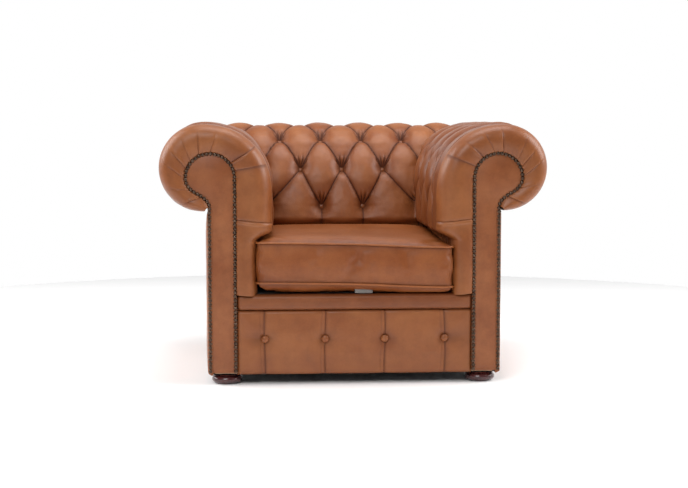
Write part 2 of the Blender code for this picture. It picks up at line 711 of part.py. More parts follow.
clear_scene()
PARTS = new_collection("button_backed_armchair")
CUTTERS = new_collection("cutters")
make_upholstery()
make_facings()
make_panels()
make_apron_buttons()
make_frame()
make_dust_cover()
make_feet()
make_springs()
make_deck()
make_cushion()
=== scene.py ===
"""Button-tufted leather club armchair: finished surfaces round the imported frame.

The chair faces -Y, +Z is up and the floor is z = 0. All sizes are metres.
"""

import logging
import math
from dataclasses import dataclass
from enum import Enum
from typing import Callable, Sequence

import bmesh
import bpy
import numpy as np
from mathutils import Matrix, Vector, noise


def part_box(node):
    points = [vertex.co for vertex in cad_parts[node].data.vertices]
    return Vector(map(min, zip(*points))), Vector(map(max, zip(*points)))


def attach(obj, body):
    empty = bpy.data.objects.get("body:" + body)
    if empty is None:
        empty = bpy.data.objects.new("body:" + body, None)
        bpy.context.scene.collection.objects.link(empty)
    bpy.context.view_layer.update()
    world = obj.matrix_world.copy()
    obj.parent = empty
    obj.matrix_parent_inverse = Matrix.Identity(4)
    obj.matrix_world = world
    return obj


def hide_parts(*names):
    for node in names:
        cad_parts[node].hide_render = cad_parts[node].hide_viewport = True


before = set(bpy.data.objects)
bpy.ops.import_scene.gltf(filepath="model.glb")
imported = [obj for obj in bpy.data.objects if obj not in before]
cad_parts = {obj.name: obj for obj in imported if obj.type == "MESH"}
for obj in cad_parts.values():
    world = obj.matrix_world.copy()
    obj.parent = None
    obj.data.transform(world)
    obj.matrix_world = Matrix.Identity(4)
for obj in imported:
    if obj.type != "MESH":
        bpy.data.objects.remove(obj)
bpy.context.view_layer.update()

WELD = 0.00001
FAN_FOLDS = 14.0
LEATHER_EDGE = 0.0046
APRON_BUTTON_SINK = 0.0030
PANEL_GAP = 0.0003
UNDERSIDE_GAP = 0.0006
SEAM_LAP = 0.001
BEAD_RADIUS = 0.004
NAIL_FOOT = 0.006
CUSHION_FULLNESS = 0.003
SHARP_EDGE = math.radians(50)

Point = tuple[float, float, float]
Colour = tuple[float, float, float, float]
Place = Callable[[np.ndarray, np.ndarray], np.ndarray]

log = logging.getLogger("armchair")


class Side(Enum):
    """Left and right as a viewer who faces the chair sees them."""

    LEFT = -1
    RIGHT = 1

    @property
    def word(self) -> str:
        """The side's name in node names."""
        return self.name.lower()


# ---- Mesh helpers ----
def finish_object(name: str, mesh: bpy.types.Mesh, material: bpy.types.Material) -> bpy.types.Object:
    """Links a mesh as an object at the origin.

    Args:
        name: The piece's name.
        mesh: Its mesh, already in place.
        material: Its one material.

    Returns:
        The new object.
    """
    made = bpy.data.objects.new(name, mesh)
    mesh.materials.clear()
    mesh.materials.append(material)
    bpy.context.scene.collection.objects.link(made)
    return made


def mesh_of(bm: bmesh.types.BMesh, name: str, smooth: bool = True, recalc: bool = True) -> bpy.types.Mesh:
    """Turns a bmesh into a mesh and frees it.

    Args:
        bm: The bmesh.
        name: The mesh's name.
        smooth: Whether its faces are shaded smooth.
        recalc: Whether its normals are made to point outwards first.

    Returns:
        The mesh.
    """
    if recalc:
        bmesh.ops.recalc_face_normals(bm, faces=bm.faces)
    for face in bm.faces:
        face.smooth = smooth
    mesh = bpy.data.meshes.new(name)
    bm.to_mesh(mesh)
    bm.free()
    return mesh


def coordinates(mesh: bpy.types.Mesh) -> np.ndarray:
    """The mesh's vertex positions as an array of rows."""
    flat = np.empty(len(mesh.vertices) * 3)
    mesh.vertices.foreach_get("co", flat)
    return flat.reshape(-1, 3)


def set_coordinates(mesh: bpy.types.Mesh, points: np.ndarray) -> None:
    """Moves the mesh's vertices to the given rows."""
    mesh.vertices.foreach_set("co", np.ascontiguousarray(points, dtype=np.float64).ravel())
    mesh.update()


def sheet(name: str, columns: int, rows: int, place: Place, flip: bool = False) -> bpy.types.Mesh:
    """A grid bent into shape.

    Args:
        name: The mesh's name.
        columns: Segments along u.
        rows: Segments along v.
        place: Gives positions for arrays of u and v, both from 0 to 1.
        flip: Whether to turn its faces over.

    Returns:
        The bent mesh, shaded smooth.
    """
    bm = bmesh.new()
    bmesh.ops.create_grid(bm, x_segments=columns, y_segments=rows, size=0.5)
    if flip:
        bmesh.ops.reverse_faces(bm, faces=bm.faces)
    mesh = mesh_of(bm, name, recalc=False)
    flat = coordinates(mesh)
    set_coordinates(mesh, place(flat[:, 0] + 0.5, flat[:, 1] + 0.5))
    return mesh


def store_mask(mesh: bpy.types.Mesh, name: str, values: np.ndarray) -> None:
    """Keeps one number for each vertex as a named attribute."""
    layer = mesh.attributes.new(name, "FLOAT", "POINT")
    layer.data.foreach_set("value", np.ascontiguousarray(values, dtype=np.float32))


def thicken(piece: bpy.types.Object, thickness: float, offset: float = -1.0) -> None:
    """Gives a sheet its thickness with a live Solidify modifier."""
    solid = piece.modifiers.new("thickness", "SOLIDIFY")
    solid.thickness = thickness
    solid.offset = offset
    solid.use_even_offset = False


def install(made: bpy.types.Object, body: str, slot: str, *nodes: str, fill: float | None = None) -> None:
    """Attaches a piece to the body it rides on and hides the CAD nodes it stands for.

    Args:
        made: The piece.
        body: The body it moves with.
        slot: Its material slot; not used.
        *nodes: The CAD nodes it stands for.
        fill: How full a padded piece is, or None for a hard one; not used.
    """
    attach(made, body)
    if nodes:
        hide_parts(*nodes)
    log.info("%s rides on %s", made.name, body)


def whole(bm: bmesh.types.BMesh) -> list[bmesh.types.BMVert | bmesh.types.BMEdge | bmesh.types.BMFace]:
    """All of a bmesh's geometry, as its cutting operators want it."""
    return [*bm.verts, *bm.edges, *bm.faces]


def rounded_box(name: str, low: Sequence[float], high: Sequence[float], radius: float,
                segments: int = 3) -> bpy.types.Mesh:
    """A box between two corners with rounded edges.

    Args:
        name: The piece's name.
        low: Its lowest corner.
        high: Its highest corner.
        radius: Width of its bevels.
        segments: Segments of each bevel.

    Returns:
        The mesh.
    """
    bm = bmesh.new()
    low_corner, high_corner = Vector(low), Vector(high)
    bmesh.ops.create_cube(bm, size=1.0)
    bmesh.ops.scale(bm, vec=high_corner - low_corner, verts=bm.verts)
    bmesh.ops.translate(bm, vec=(low_corner + high_corner) / 2, verts=bm.verts)
    bmesh.ops.bevel(bm, geom=list(bm.edges), offset=radius, segments=segments, profile=0.5,
                    affect="EDGES", material=-1)
    return mesh_of(bm, name)


def turned(name: str, profile: Sequence[tuple[float, float]], place: Matrix, steps: int) -> bpy.types.Mesh:
    """A turned solid.

    Args:
        name: The mesh's name.
        profile: Radius and height pairs from top to bottom.
        place: Where its height 0 goes, and how it is turned.
        steps: Segments round.

    Returns:
        The closed mesh.
    """
    bm = bmesh.new()
    verts = [bm.verts.new((radius, 0.0, height)) for radius, height in profile]
    edges = [bm.edges.new(pair) for pair in zip(verts, verts[1:])]
    bmesh.ops.spin(bm, geom=verts + edges, axis=(0, 0, 1), cent=(0, 0, 0), angle=math.tau, steps=steps,
                   use_merge=True)
    bmesh.ops.remove_doubles(bm, verts=bm.verts, dist=WELD)
    bmesh.ops.transform(bm, matrix=place, verts=bm.verts)
    return mesh_of(bm, name)


def tube(name: str, points: Sequence[Sequence[float]], radius: float, closed: bool,
         sides: int = 3) -> bpy.types.Mesh:
    """A round cord through the points, as a mesh.

    Args:
        name: The mesh's name.
        points: The points of its middle line.
        radius: Its radius.
        closed: Whether it runs round to its start.
        sides: The curve's bevel resolution.

    Returns:
        The mesh, with its ends closed.
    """
    curve = bpy.data.curves.new(name, "CURVE")
    curve.dimensions = "3D"
    curve.bevel_depth = radius
    curve.bevel_resolution = sides
    curve.use_fill_caps = not closed
    spline = curve.splines.new("POLY")
    spline.points.add(len(points) - 1)
    for slot, point in zip(spline.points, points):
        slot.co = (*point, 1.0)
    spline.use_cyclic_u = closed
    holder = bpy.data.objects.new(name, curve)
    bpy.context.scene.collection.objects.link(holder)
    evaluated = holder.evaluated_get(bpy.context.evaluated_depsgraph_get())
    mesh = bpy.data.meshes.new_from_object(evaluated)
    bpy.data.objects.remove(holder)
    bpy.data.curves.remove(curve)
    bm = bmesh.new()
    bm.from_mesh(mesh)
    bpy.data.meshes.remove(mesh)
    bmesh.ops.remove_doubles(bm, verts=bm.verts, dist=WELD)
    return mesh_of(bm, name)


def arc(centre_x: float, centre_z: float, radius: float, start: float, end: float,
        count: int) -> list[tuple[float, float]]:
    """Points round an arc, both ends included, from start to end in degrees.

    Args:
        centre_x: The arc's centre along the first axis.
        centre_z: The arc's centre along the second axis.
        radius: Its radius.
        start: Its first angle.
        end: Its last angle.
        count: How many points.

    Returns:
        The points, as pairs.
    """
    angles = np.radians(np.linspace(start, end, count))
    return [(centre_x + radius * math.cos(a), centre_z + radius * math.sin(a)) for a in angles]


def smoothstep(low: float, high: float, values: np.ndarray) -> np.ndarray:
    """0 below low, 1 above high and a smooth rise between."""
    t = np.clip((values - low) / (high - low), 0.0, 1.0)
    return t * t * (3.0 - 2.0 * t)


def bell(values: np.ndarray, width: float, power: float = 2.0) -> np.ndarray:
    """1 at zero, falling away on both sides over about the given width."""
    return np.exp(-np.abs(values / width) ** power)


def hump(share: np.ndarray) -> np.ndarray:
    """0 at shares 0 and 1, and 1 half way."""
    return 4 * share * (1 - share)


def fraction_from_line(count: np.ndarray) -> np.ndarray:
    """Distance to the nearest whole number, negative below it and positive above."""
    return (count + 0.5) % 1.0 - 0.5


def run_along(line: np.ndarray) -> np.ndarray:
    """Running length at each point of a line, from 0 at its start."""
    return np.concatenate([[0.0], np.cumsum(np.linalg.norm(np.diff(line, axis=0), axis=1))])


def left_of(heading: np.ndarray) -> np.ndarray:
    """Unit vectors to the left of a plane line's headings."""
    heading = heading / np.linalg.norm(heading, axis=1)[:, None]
    return np.stack([-heading[:, 1], heading[:, 0]], axis=1)


def wander(points: np.ndarray, scale: float, seed: float) -> np.ndarray:
    """Smooth noise from -1 to 1 at each point, with features about 1 / scale metres across.

    Args:
        points: Positions, one row each.
        scale: Features for each metre.
        seed: Picks another pattern.

    Returns:
        The noise.
    """
    shift = Vector((seed, -seed, 2.0 * seed))
    return np.array([noise.noise(Vector(p) * scale + shift) for p in points])


# ---- Finishes ----
class NodeSheet:
    """Small helper that adds and links shader nodes in one tree."""

    def __init__(self, tree: bpy.types.NodeTree) -> None:
        """Keeps the tree that nodes go in."""
        self.tree = tree

    def put(self, kind: str, inputs: dict[int | str, object], output: int | str = 0,
            **settings: object) -> bpy.types.NodeSocket:
        """Adds a node.

        Args:
            kind: The node's type.
            inputs: A socket or a plain value for each named or numbered input.
            output: Which output to give back.
            **settings: The node's own properties.

        Returns:
            The output's socket.
        """
        node = self.tree.nodes.new(kind)
        for key, value in settings.items():
            setattr(node, key, value)
        for key, value in inputs.items():
            if isinstance(value, bpy.types.NodeSocket):
                self.tree.links.new(value, node.inputs[key])
            else:
                node.inputs[key].default_value = value
        return node.outputs[output]

    def math(self, operation: str, first: object, second: object = 0.0) -> bpy.types.NodeSocket:
        """A Math node; each operand is a socket or a number."""
        return self.put("ShaderNodeMath", {0: first, 1: second}, operation=operation)

    def times(self, first: object, second: object) -> bpy.types.NodeSocket:
        """The product of two sockets or numbers."""
        return self.math("MULTIPLY", first, second)

    def mix(self, factor: object, first: object, second: object) -> bpy.types.NodeSocket:
        """Mixes two colours; each input is a socket or a value."""
        return self.put("ShaderNodeMix", {0: factor, 6: first, 7: second}, 2, data_type="RGBA")

    def noise(self, vector: bpy.types.NodeSocket, scale: float, detail: float,
              roughness: float = 0.5) -> bpy.types.NodeSocket:
        """A Noise Texture's value."""
        return self.put("ShaderNodeTexNoise", {"Vector": vector, "Scale": scale, "Detail": detail,
                                               "Roughness": roughness}, "Fac")

    def ramp(self, value: bpy.types.NodeSocket, low: float, high: float) -> bpy.types.NodeSocket:
        """Stretches a value so that low becomes 0 and high becomes 1."""
        return self.put("ShaderNodeMapRange", {"Value": value, "From Min": low, "From Max": high}, "Result")

    def stored(self, name: str) -> bpy.types.NodeSocket:
        """A named attribute of the mesh."""
        return self.put("ShaderNodeAttribute", {}, "Fac", attribute_name=name)


class Surface(NodeSheet):
    """A shader group that gives a colour, a roughness and a relief height."""

    def __init__(self, name: str, **extra: float | Point | Colour) -> None:
        """Starts the group.

        Args:
            name: The group's name.
            **extra: Its inputs besides Base, Dark and Rough, with their defaults.
        """
        super().__init__(bpy.data.node_groups.new(name, "ShaderNodeTree"))
        plain = (0.5, 0.5, 0.5, 1.0)
        kinds = {1: "NodeSocketFloat", 3: "NodeSocketVector", 4: "NodeSocketColor"}
        for title, value in {"Base": plain, "Dark": plain, "Rough": 0.5, **extra}.items():
            self.tree.interface.new_socket(title, in_out="INPUT",
                                           socket_type=kinds[np.size(value)]).default_value = value
        for title, size in (("Colour", 4), ("Roughness", 1), ("Height", 1)):
            self.tree.interface.new_socket(title, in_out="OUTPUT", socket_type=kinds[size])
        self.source = self.tree.nodes.new("NodeGroupInput").outputs
        self.result = self.tree.nodes.new("NodeGroupOutput").inputs
        self.place = self.put("ShaderNodeTexCoord", {}, "Object")

    def shade(self, colour: bpy.types.NodeSocket, factor: object, amount: object,
              towards: str = "Dark") -> bpy.types.NodeSocket:
        """Mixes a colour towards one of the group's own by an amount of a factor."""
        return self.mix(self.times(factor, amount), colour, self.source[towards])

    def finish(self, colour: bpy.types.NodeSocket, rise: bpy.types.NodeSocket,
               height: bpy.types.NodeSocket) -> bpy.types.NodeTree:
        """Links the three results.

        Args:
            colour: The surface's colour.
            rise: What the pattern adds to the plain roughness.
            height: The relief.

        Returns:
            The group.
        """
        rough = self.math("ADD", self.source["Rough"], rise)
        for title, value in (("Colour", colour), ("Roughness", rough), ("Height", height)):
            self.tree.links.new(value, self.result[title])
        return self.tree


def pleat_line(nodes: NodeSheet) -> bpy.types.NodeSocket:
    """1 along the stored pleat lines and 0 away from them.

    The attributes pleat_a and pleat_b are whole numbers on a line, pleat_s is the metres between two
    lines and pleat_on fades them.

    Args:
        nodes: The tree that the nodes go in.

    Returns:
        The line's value.
    """
    gaps = []
    for name in ("pleat_a", "pleat_b"):
        part = nodes.math("FRACT", nodes.math("ADD", nodes.stored(name), 0.5))
        gaps.append(nodes.math("ABSOLUTE", nodes.math("SUBTRACT", part, 0.5)))
    distance = nodes.times(nodes.math("MINIMUM", *gaps), nodes.stored("pleat_s"))
    return nodes.times(nodes.ramp(distance, 0.0017, 0.0005), nodes.stored("pleat_on"))


def fan_lines(nodes: NodeSheet) -> bpy.types.NodeSocket:
    """Short folds that spread upwards from each tufting button, 1 along their valleys.

    The attributes tuft_x and tuft_y are the metres across and up from the nearest button.

    Args:
        nodes: The tree that the nodes go in.

    Returns:
        The folds' value.
    """
    across, along = nodes.stored("tuft_x"), nodes.stored("tuft_y")
    both = nodes.put("ShaderNodeCombineXYZ", {"X": across, "Y": along})
    reach = nodes.put("ShaderNodeVectorMath", {0: both}, "Value", operation="LENGTH")
    turn = nodes.math("ARCTAN2", across, along)
    folds = nodes.ramp(nodes.math("COSINE", nodes.times(turn, FAN_FOLDS)), -0.15, -0.90)
    for value, none, full in ((nodes.math("ABSOLUTE", turn), 0.85, 0.65), (reach, 0.041, 0.020),
                              (reach, 0.007, 0.011)):
        folds = nodes.times(folds, nodes.ramp(value, none, full))
    return nodes.times(folds, nodes.stored("tuft_on"))


def build_leather_group() -> bpy.types.NodeTree:
    """Hide: mottled colour, painted shade in the creases and along the pleat lines, crowns paler from rubbing
    and from a painted highlight, and a fine pebbled grain.

    Returns:
        The group.
    """
    hide = Surface("hide_surface", Light=(0.5, 0.5, 0.5, 1.0), Shift=0.0)
    where = hide.put("ShaderNodeVectorMath", {0: hide.place, 1: hide.source["Shift"]}, operation="ADD")
    clouds = hide.ramp(hide.noise(where, 9.0, 4.0, 0.6), 0.34, 0.66)
    blotches = hide.ramp(hide.noise(where, 38.0, 3.0, 0.55), 0.42, 0.72)
    specks = hide.ramp(hide.noise(where, 210.0, 2.0), 0.3, 0.75)
    crease_shade, rub_and_highlight = hide.stored("crease_shade"), hide.stored("rub_and_highlight")
    line = hide.math("MAXIMUM", pleat_line(hide), fan_lines(hide))
    base = hide.source["Base"]
    # Clouds, blotches and specks are the hide's own tone; the rub mask mixes towards Light as rubbing wear and
    # painted highlight, and the crease mask and the pleat and fan lines mix towards Dark as painted shade.
    for factor, amount, towards in ((clouds, 0.48, "Light"), (blotches, 0.20, "Dark"), (specks, 0.12, "Dark"),
                                    (rub_and_highlight, 0.45, "Light"), (crease_shade, 0.70, "Dark"), (line, 0.85, "Dark")):
        base = hide.shade(base, factor, amount, towards)
    rise = hide.math("ADD", hide.times(clouds, 0.10), hide.times(hide.math("MAXIMUM", crease_shade, line), 0.30))
    pebble = hide.put("ShaderNodeTexVoronoi", {"Vector": where, "Scale": 520.0}, "Distance", feature="F1")
    height = hide.times(pebble, -0.55)
    for pattern, amount in ((hide.noise(where, 120.0, 5.0, 0.62), 1.1), (hide.noise(where, 26.0, 3.0), 1.4),
                            (line, -1.3)):
        height = hide.math("ADD", height, hide.times(pattern, amount))
    return hide.finish(base, rise, height)


def build_fibre_group() -> bpy.types.NodeTree:
    """Straight fibres along one axis: the grain of timber.

    Returns:
        The group.
    """
    fibre = Surface("fibre_surface", Stretch=(1.0, 1.0, 1.0))
    scaled = fibre.put("ShaderNodeVectorMath", {0: fibre.place, 1: fibre.source["Stretch"]},
                       operation="MULTIPLY")
    streak = fibre.ramp(fibre.noise(scaled, 1.0, 5.0, 0.6), 0.35, 0.7)
    colour = fibre.shade(fibre.source["Base"], streak, 0.75)
    colour = fibre.shade(colour, fibre.noise(fibre.place, 14.0, 2.0), 0.25)
    return fibre.finish(colour, fibre.times(streak, 0.12), streak)


def build_weave_group() -> bpy.types.NodeTree:
    """A plain weave of crossing threads.

    Returns:
        The group.
    """
    weave = Surface("weave_surface", Pitch=700.0)
    split = weave.tree.nodes.new("ShaderNodeSeparateXYZ")
    weave.tree.links.new(weave.place, split.inputs[0])
    waves = [weave.math("SINE", weave.times(axis, weave.source["Pitch"])) for axis in split.outputs]
    threads = weave.math("ADD", weave.times(weave.times(waves[0], waves[1]), 0.5), weave.times(waves[2], 0.2))
    cover = weave.ramp(threads, -0.6, 0.6)
    fuzz = weave.noise(weave.place, 60.0, 3.0)
    colour = weave.shade(weave.shade(weave.source["Dark"], cover, 0.6, "Base"), fuzz, 0.3)
    return weave.finish(colour, weave.times(fuzz, 0.05), cover)


def build_metal_group() -> bpy.types.NodeTree:
    """Aged metal: patches of dark tarnish on a worn base."""
    metal = Surface("tarnish_surface", Amount=0.5)
    patch = metal.ramp(metal.noise(metal.place, 160.0, 4.0, 0.6), 0.32, 0.68)
    colour = metal.shade(metal.source["Base"], patch, metal.source["Amount"])
    return metal.finish(colour, metal.times(patch, 0.25), metal.noise(metal.place, 900.0, 2.0))


@dataclass(frozen=True)
class Finish:
    """What every material of the chair has: two colours, a roughness and a relief."""

    name: str
    base: Colour
    dark: Colour
    rough: float
    bump: float
    depth: float

    def pattern(self) -> dict[str, object]:
        """Values for the inputs that only this kind of surface has."""
        return {}

    def shader(self) -> dict[str, float]:
        """Plain values for the Principled shader's own sockets."""
        return {}

    def build(self, tree: bpy.types.NodeTree) -> bpy.types.Material:
        """Makes the material.

        Args:
            tree: The surface group that feeds its Principled shader.

        Returns:
            The material.
        """
        material = bpy.data.materials.new(self.name)
        material.use_nodes = True
        nodes = NodeSheet(material.node_tree)
        surface = material.node_tree.nodes.new("ShaderNodeGroup")
        surface.node_tree = tree
        values = {"Base": self.base, "Dark": self.dark, "Rough": self.rough, **self.pattern()}
        for key, value in values.items():
            surface.inputs[key].default_value = value
        relief = nodes.put("ShaderNodeBump", {"Height": surface.outputs["Height"], "Strength": self.bump,
                                              "Distance": self.depth}, "Normal")
        sockets = material.node_tree.nodes["Principled BSDF"].inputs
        for key, out in (("Base Color", surface.outputs["Colour"]),
                         ("Roughness", surface.outputs["Roughness"]), ("Normal", relief)):
            nodes.tree.links.new(out, sockets[key])
        for key, value in self.shader().items():
            sockets[key].default_value = value
        return material


@dataclass(frozen=True)
class LeatherFinish(Finish):
    """Semi-aniline hide in one shade."""

    light: Colour = (0.385, 0.138, 0.040, 1)
    dark: Colour = (0.060, 0.012, 0.004, 1)
    rough: float = 0.33
    bump: float = 0.55
    depth: float = 0.0006
    shift: float = 0.0

    def pattern(self) -> dict[str, object]:
        """The paler colour for the mottling and for the rubbed crowns with their painted highlight, and where
        in the pattern this piece was cut.
        """
        return {"Light": self.light, "Shift": self.shift}

    def shader(self) -> dict[str, float]:
        """A slightly softer shine than lacquer."""
        return {"Specular IOR Level": 0.42}


@dataclass(frozen=True)
class FibreFinish(Finish):
    """Timber with its grain along one axis."""

    rough: float = 0.5
    bump: float = 0.25
    depth: float = 0.0006
    stretch: Point = (1.0, 1.0, 1.0)
    coat: float = 0.0

    def pattern(self) -> dict[str, object]:
        """How far the fibres are drawn out along each axis."""
        return {"Stretch": self.stretch}

    def shader(self) -> dict[str, float]:
        """The polish."""
        return {"Coat Weight": self.coat, "Coat Roughness": 0.12}


@dataclass(frozen=True)
class WeaveFinish(Finish):
    """Woven cloth or tape."""

    rough: float = 0.85
    bump: float = 0.5
    depth: float = 0.0005
    pitch: float = 700.0

    def pattern(self) -> dict[str, object]:
        """How close the threads lie."""
        return {"Pitch": self.pitch}

    def shader(self) -> dict[str, float]:
        """The loose fibres that catch light at the edges."""
        return {"Sheen Weight": 0.25, "Sheen Roughness": 0.5}


@dataclass(frozen=True)
class MetalFinish(Finish):
    """Metal with some tarnish."""

    rough: float = 0.3
    bump: float = 0.3
    depth: float = 0.0003
    amount: float = 0.5

    def pattern(self) -> dict[str, object]:
        """How dark the tarnish is."""
        return {"Amount": self.amount}

    def shader(self) -> dict[str, float]:
        """Bare metal."""
        return {"Metallic": 1.0}


class Wardrobe:
    """Every material of the chair, built once."""

    def __init__(self) -> None:
        """Builds the surface groups and the materials."""
        hide, fibre = build_leather_group(), build_fibre_group()
        weave, metal = build_weave_group(), build_metal_group()
        tan = (0.214, 0.0565, 0.0138, 1)
        timber, grain = (0.56, 0.38, 0.22, 1), (0.36, 0.21, 0.11, 1)
        # The darker copy of the tan below is for the inner arm covers and the seat band: painted shade.
        shade_tan = {"base": (0.168, 0.0415, 0.0092, 1), "dark": (0.050, 0.009, 0.003, 1),
                "light": (0.30, 0.096, 0.026, 1)}
        self.leather = LeatherFinish("tan_hide", **shade_tan).build(hide)
        self.leather_back = LeatherFinish("tan_hide_back", tan, shift=3.1, rough=0.38).build(hide)
        # The border's base is a little darker than the tan: painted shade.
        self.leather_border = LeatherFinish("tan_hide_border", (0.192, 0.0500, 0.0128, 1), shift=5.7,
                                            rough=0.35, bump=0.32).build(hide)
        self.leather_facing = LeatherFinish("tan_hide_facing", (0.242, 0.0690, 0.0195, 1), shift=9.1,
                                            light=(0.42, 0.155, 0.056, 1), rough=0.37, bump=0.45).build(hide)
        self.leather_panel = LeatherFinish("tan_hide_panel", tan, shift=8.3, rough=0.36, bump=0.45).build(hide)
        self.leather_band = LeatherFinish("tan_hide_band", **shade_tan, shift=2.6, rough=0.38,
                                          bump=0.45).build(hide)
        self.leather_cushion = LeatherFinish("tan_hide_cushion", (0.203, 0.0490, 0.0100, 1), shift=11.9,
                                             light=(0.36, 0.115, 0.028, 1), rough=0.35).build(hide)
        self.leather_trim = LeatherFinish("tan_hide_trim", (0.215, 0.055, 0.011, 1), shift=14.0,
                                          bump=0.35).build(hide)
        self.brass = MetalFinish("antique_brass", (0.15, 0.098, 0.070, 1), (0.022, 0.013, 0.010, 1), 0.22,
                                 amount=0.8).build(metal)
        self.zip_metal = MetalFinish("zip_brass", (0.55, 0.43, 0.22, 1), (0.10, 0.07, 0.03, 1)).build(metal)
        self.steel = MetalFinish("spring_steel", (0.42, 0.42, 0.43, 1), (0.10, 0.09, 0.08, 1),
                                 0.35).build(metal)
        self.beech = [
            FibreFinish(f"beech_{word}", timber, grain,
                        stretch=tuple(np.where(np.arange(3) == axis, 9.0, 160.0))).build(fibre)
            for axis, word in enumerate(("across", "along", "upright"))]
        self.mahogany = FibreFinish("mahogany_polish", (0.085, 0.016, 0.016, 1), (0.022, 0.005, 0.006, 1),
                                    0.22, 0.1, stretch=(60.0, 14.0, 120.0), coat=0.7).build(fibre)
        self.cloth = WeaveFinish("black_lining", (0.035, 0.034, 0.036, 1), (0.010, 0.010, 0.011, 1),
                                 pitch=2600.0).build(weave)
        self.tape = WeaveFinish("zip_tape", (0.12, 0.055, 0.032, 1), (0.05, 0.022, 0.014, 1),
                                pitch=3600.0).build(weave)
        self.label = WeaveFinish("blank_label", (0.30, 0.285, 0.265, 1), (0.20, 0.185, 0.175, 1),
                                 pitch=3200.0).build(weave)


# ---- The arm and back section ----
@dataclass
class Section:
    """Leather line of the arms and the back, for the right-hand arm; the back's follows from it."""

    half_width: float
    top: float
    bottom: float
    underside: float
    bulge: float
    rear: float
    cushion_top: float
    recess: float = 0.041
    fold_drop: float = 0.006
    fold_height: float = 0.028
    shoulder_start: float = 0.515
    fullness_power: float = 2.2
    corner: float = 0.10
    board_x: float = 0.3236
    lean: float = 0.0465
    fill: float = 0.037
    underside_angle: float = -92.0

    def __post_init__(self) -> None:
        """Works out the roll and a smooth line with its running length."""
        self.radius = (self.top - self.underside) / 2
        self.roll_x = self.half_width - self.radius
        self.roll_z = self.top - self.radius
        self.back_shift = self.rear - self.half_width
        seat = self.bulge + self.recess
        fold_z = self.cushion_top - self.fold_drop
        points = [(seat, z) for z in np.linspace(self.bottom, fold_z, 12)]
        for t in np.linspace(0.0, 1.0, 24)[1:]:
            ease = t * t * (3.0 - 2.0 * t)
            points.append((seat - self.recess * ease, fold_z + self.fold_height * t))
        points += [(self.bulge, z) for z in np.linspace(points[-1][1], self.shoulder_start, 8)[1:]]
        for i in range(1, 60):
            angle = math.radians(90.0 * i / 60)
            x = self.roll_x - (self.roll_x - self.bulge) * math.cos(angle) ** (2 / self.fullness_power)
            rise = (self.top - self.shoulder_start) * math.sin(angle) ** (2 / self.fullness_power)
            points.append((x, self.shoulder_start + rise))
        points += arc(self.roll_x, self.roll_z, self.radius, 90.0, self.underside_angle, 90)
        self.line = np.array(points)
        self.run = run_along(self.line)
        self.length = float(self.run[-1])
        # Travel runs up, over and down, so the outward side is on its left.
        self.out = left_of(np.gradient(self.line, self.run, axis=0))

    def at(self, run: np.ndarray) -> tuple[np.ndarray, np.ndarray, np.ndarray, np.ndarray]:
        """Position x, z and outward normal x, z at running lengths along the line.

        Args:
            run: Running length along the section.

        Returns:
            The four arrays.
        """
        return tuple(np.interp(run, self.run, column) for column in (*self.line.T, *self.out.T))

    def run_at_height(self, z: float) -> float:
        """Running length at which the inner side reaches a height."""
        crest = int(np.argmax(self.line[:, 1]))
        return float(np.interp(z, self.line[:crest, 1], self.run[:crest]))

    def run_at_angle(self, degrees: float) -> float:
        """Running length at an angle round the roll's centre, from 90 at its top to 0 at its outer side."""
        arc_start = self.length - math.radians(90.0 - self.underside_angle) * self.radius
        return arc_start + math.radians(90.0 - degrees) * self.radius

    def depth(self, x: np.ndarray, z: np.ndarray) -> np.ndarray:
        """How far back the inside back's leather line lies where the arm's lies at x.

        Args:
            x: Positions across on the arm's line.
            z: Their heights.

        Returns:
            The back line's y.
        """
        rise = np.clip((z - self.cushion_top) / (self.roll_z + 0.04 - self.cushion_top), 0.0, 1.0)
        reach = np.clip((self.roll_x - x) / (self.roll_x - self.bulge), 0.0, 1.0)
        fill = np.clip((x - self.bulge) / self.recess, 0.0, 1.0)
        return x + self.back_shift - (self.lean + self.fill * fill) * reach * (1.0 - rise)

    def corner_radius(self, x: np.ndarray) -> np.ndarray:
        """Radius in plan at which the leather line turns the rear corner."""
        share = (x - self.board_x) / (self.half_width - self.board_x)
        return self.corner * np.clip(share, 0.04, 1.0)


@dataclass
class Relief:
    """What tufting or pleating does to each vertex of a sheet."""

    height: np.ndarray
    # How far the hide is darkened along its creases, pleats and seams: painted shade.
    crease_shade: np.ndarray
    line_a: np.ndarray
    line_b: np.ndarray
    spacing: np.ndarray
    lined: np.ndarray
    button_across: np.ndarray | None = None
    button_along: np.ndarray | None = None

    def store(self, mesh: bpy.types.Mesh) -> None:
        """Keeps the masks that the hide surface reads.

        Args:
            mesh: The sheet that the masks belong to.
        """
        for name, values in (("crease_shade", self.crease_shade), ("pleat_a", self.line_a), ("pleat_b", self.line_b),
                             ("pleat_s", self.spacing), ("pleat_on", self.lined)):
            store_mask(mesh, name, values)
        if self.button_across is not None and self.button_along is not None:
            reach = np.hypot(self.button_across, self.button_along)
            store_mask(mesh, "tuft_x", self.button_across)
            store_mask(mesh, "tuft_y", self.button_along)
            store_mask(mesh, "tuft_on", (reach < 0.042) * np.clip(self.lined * 2.0, 0.0, 1.0))


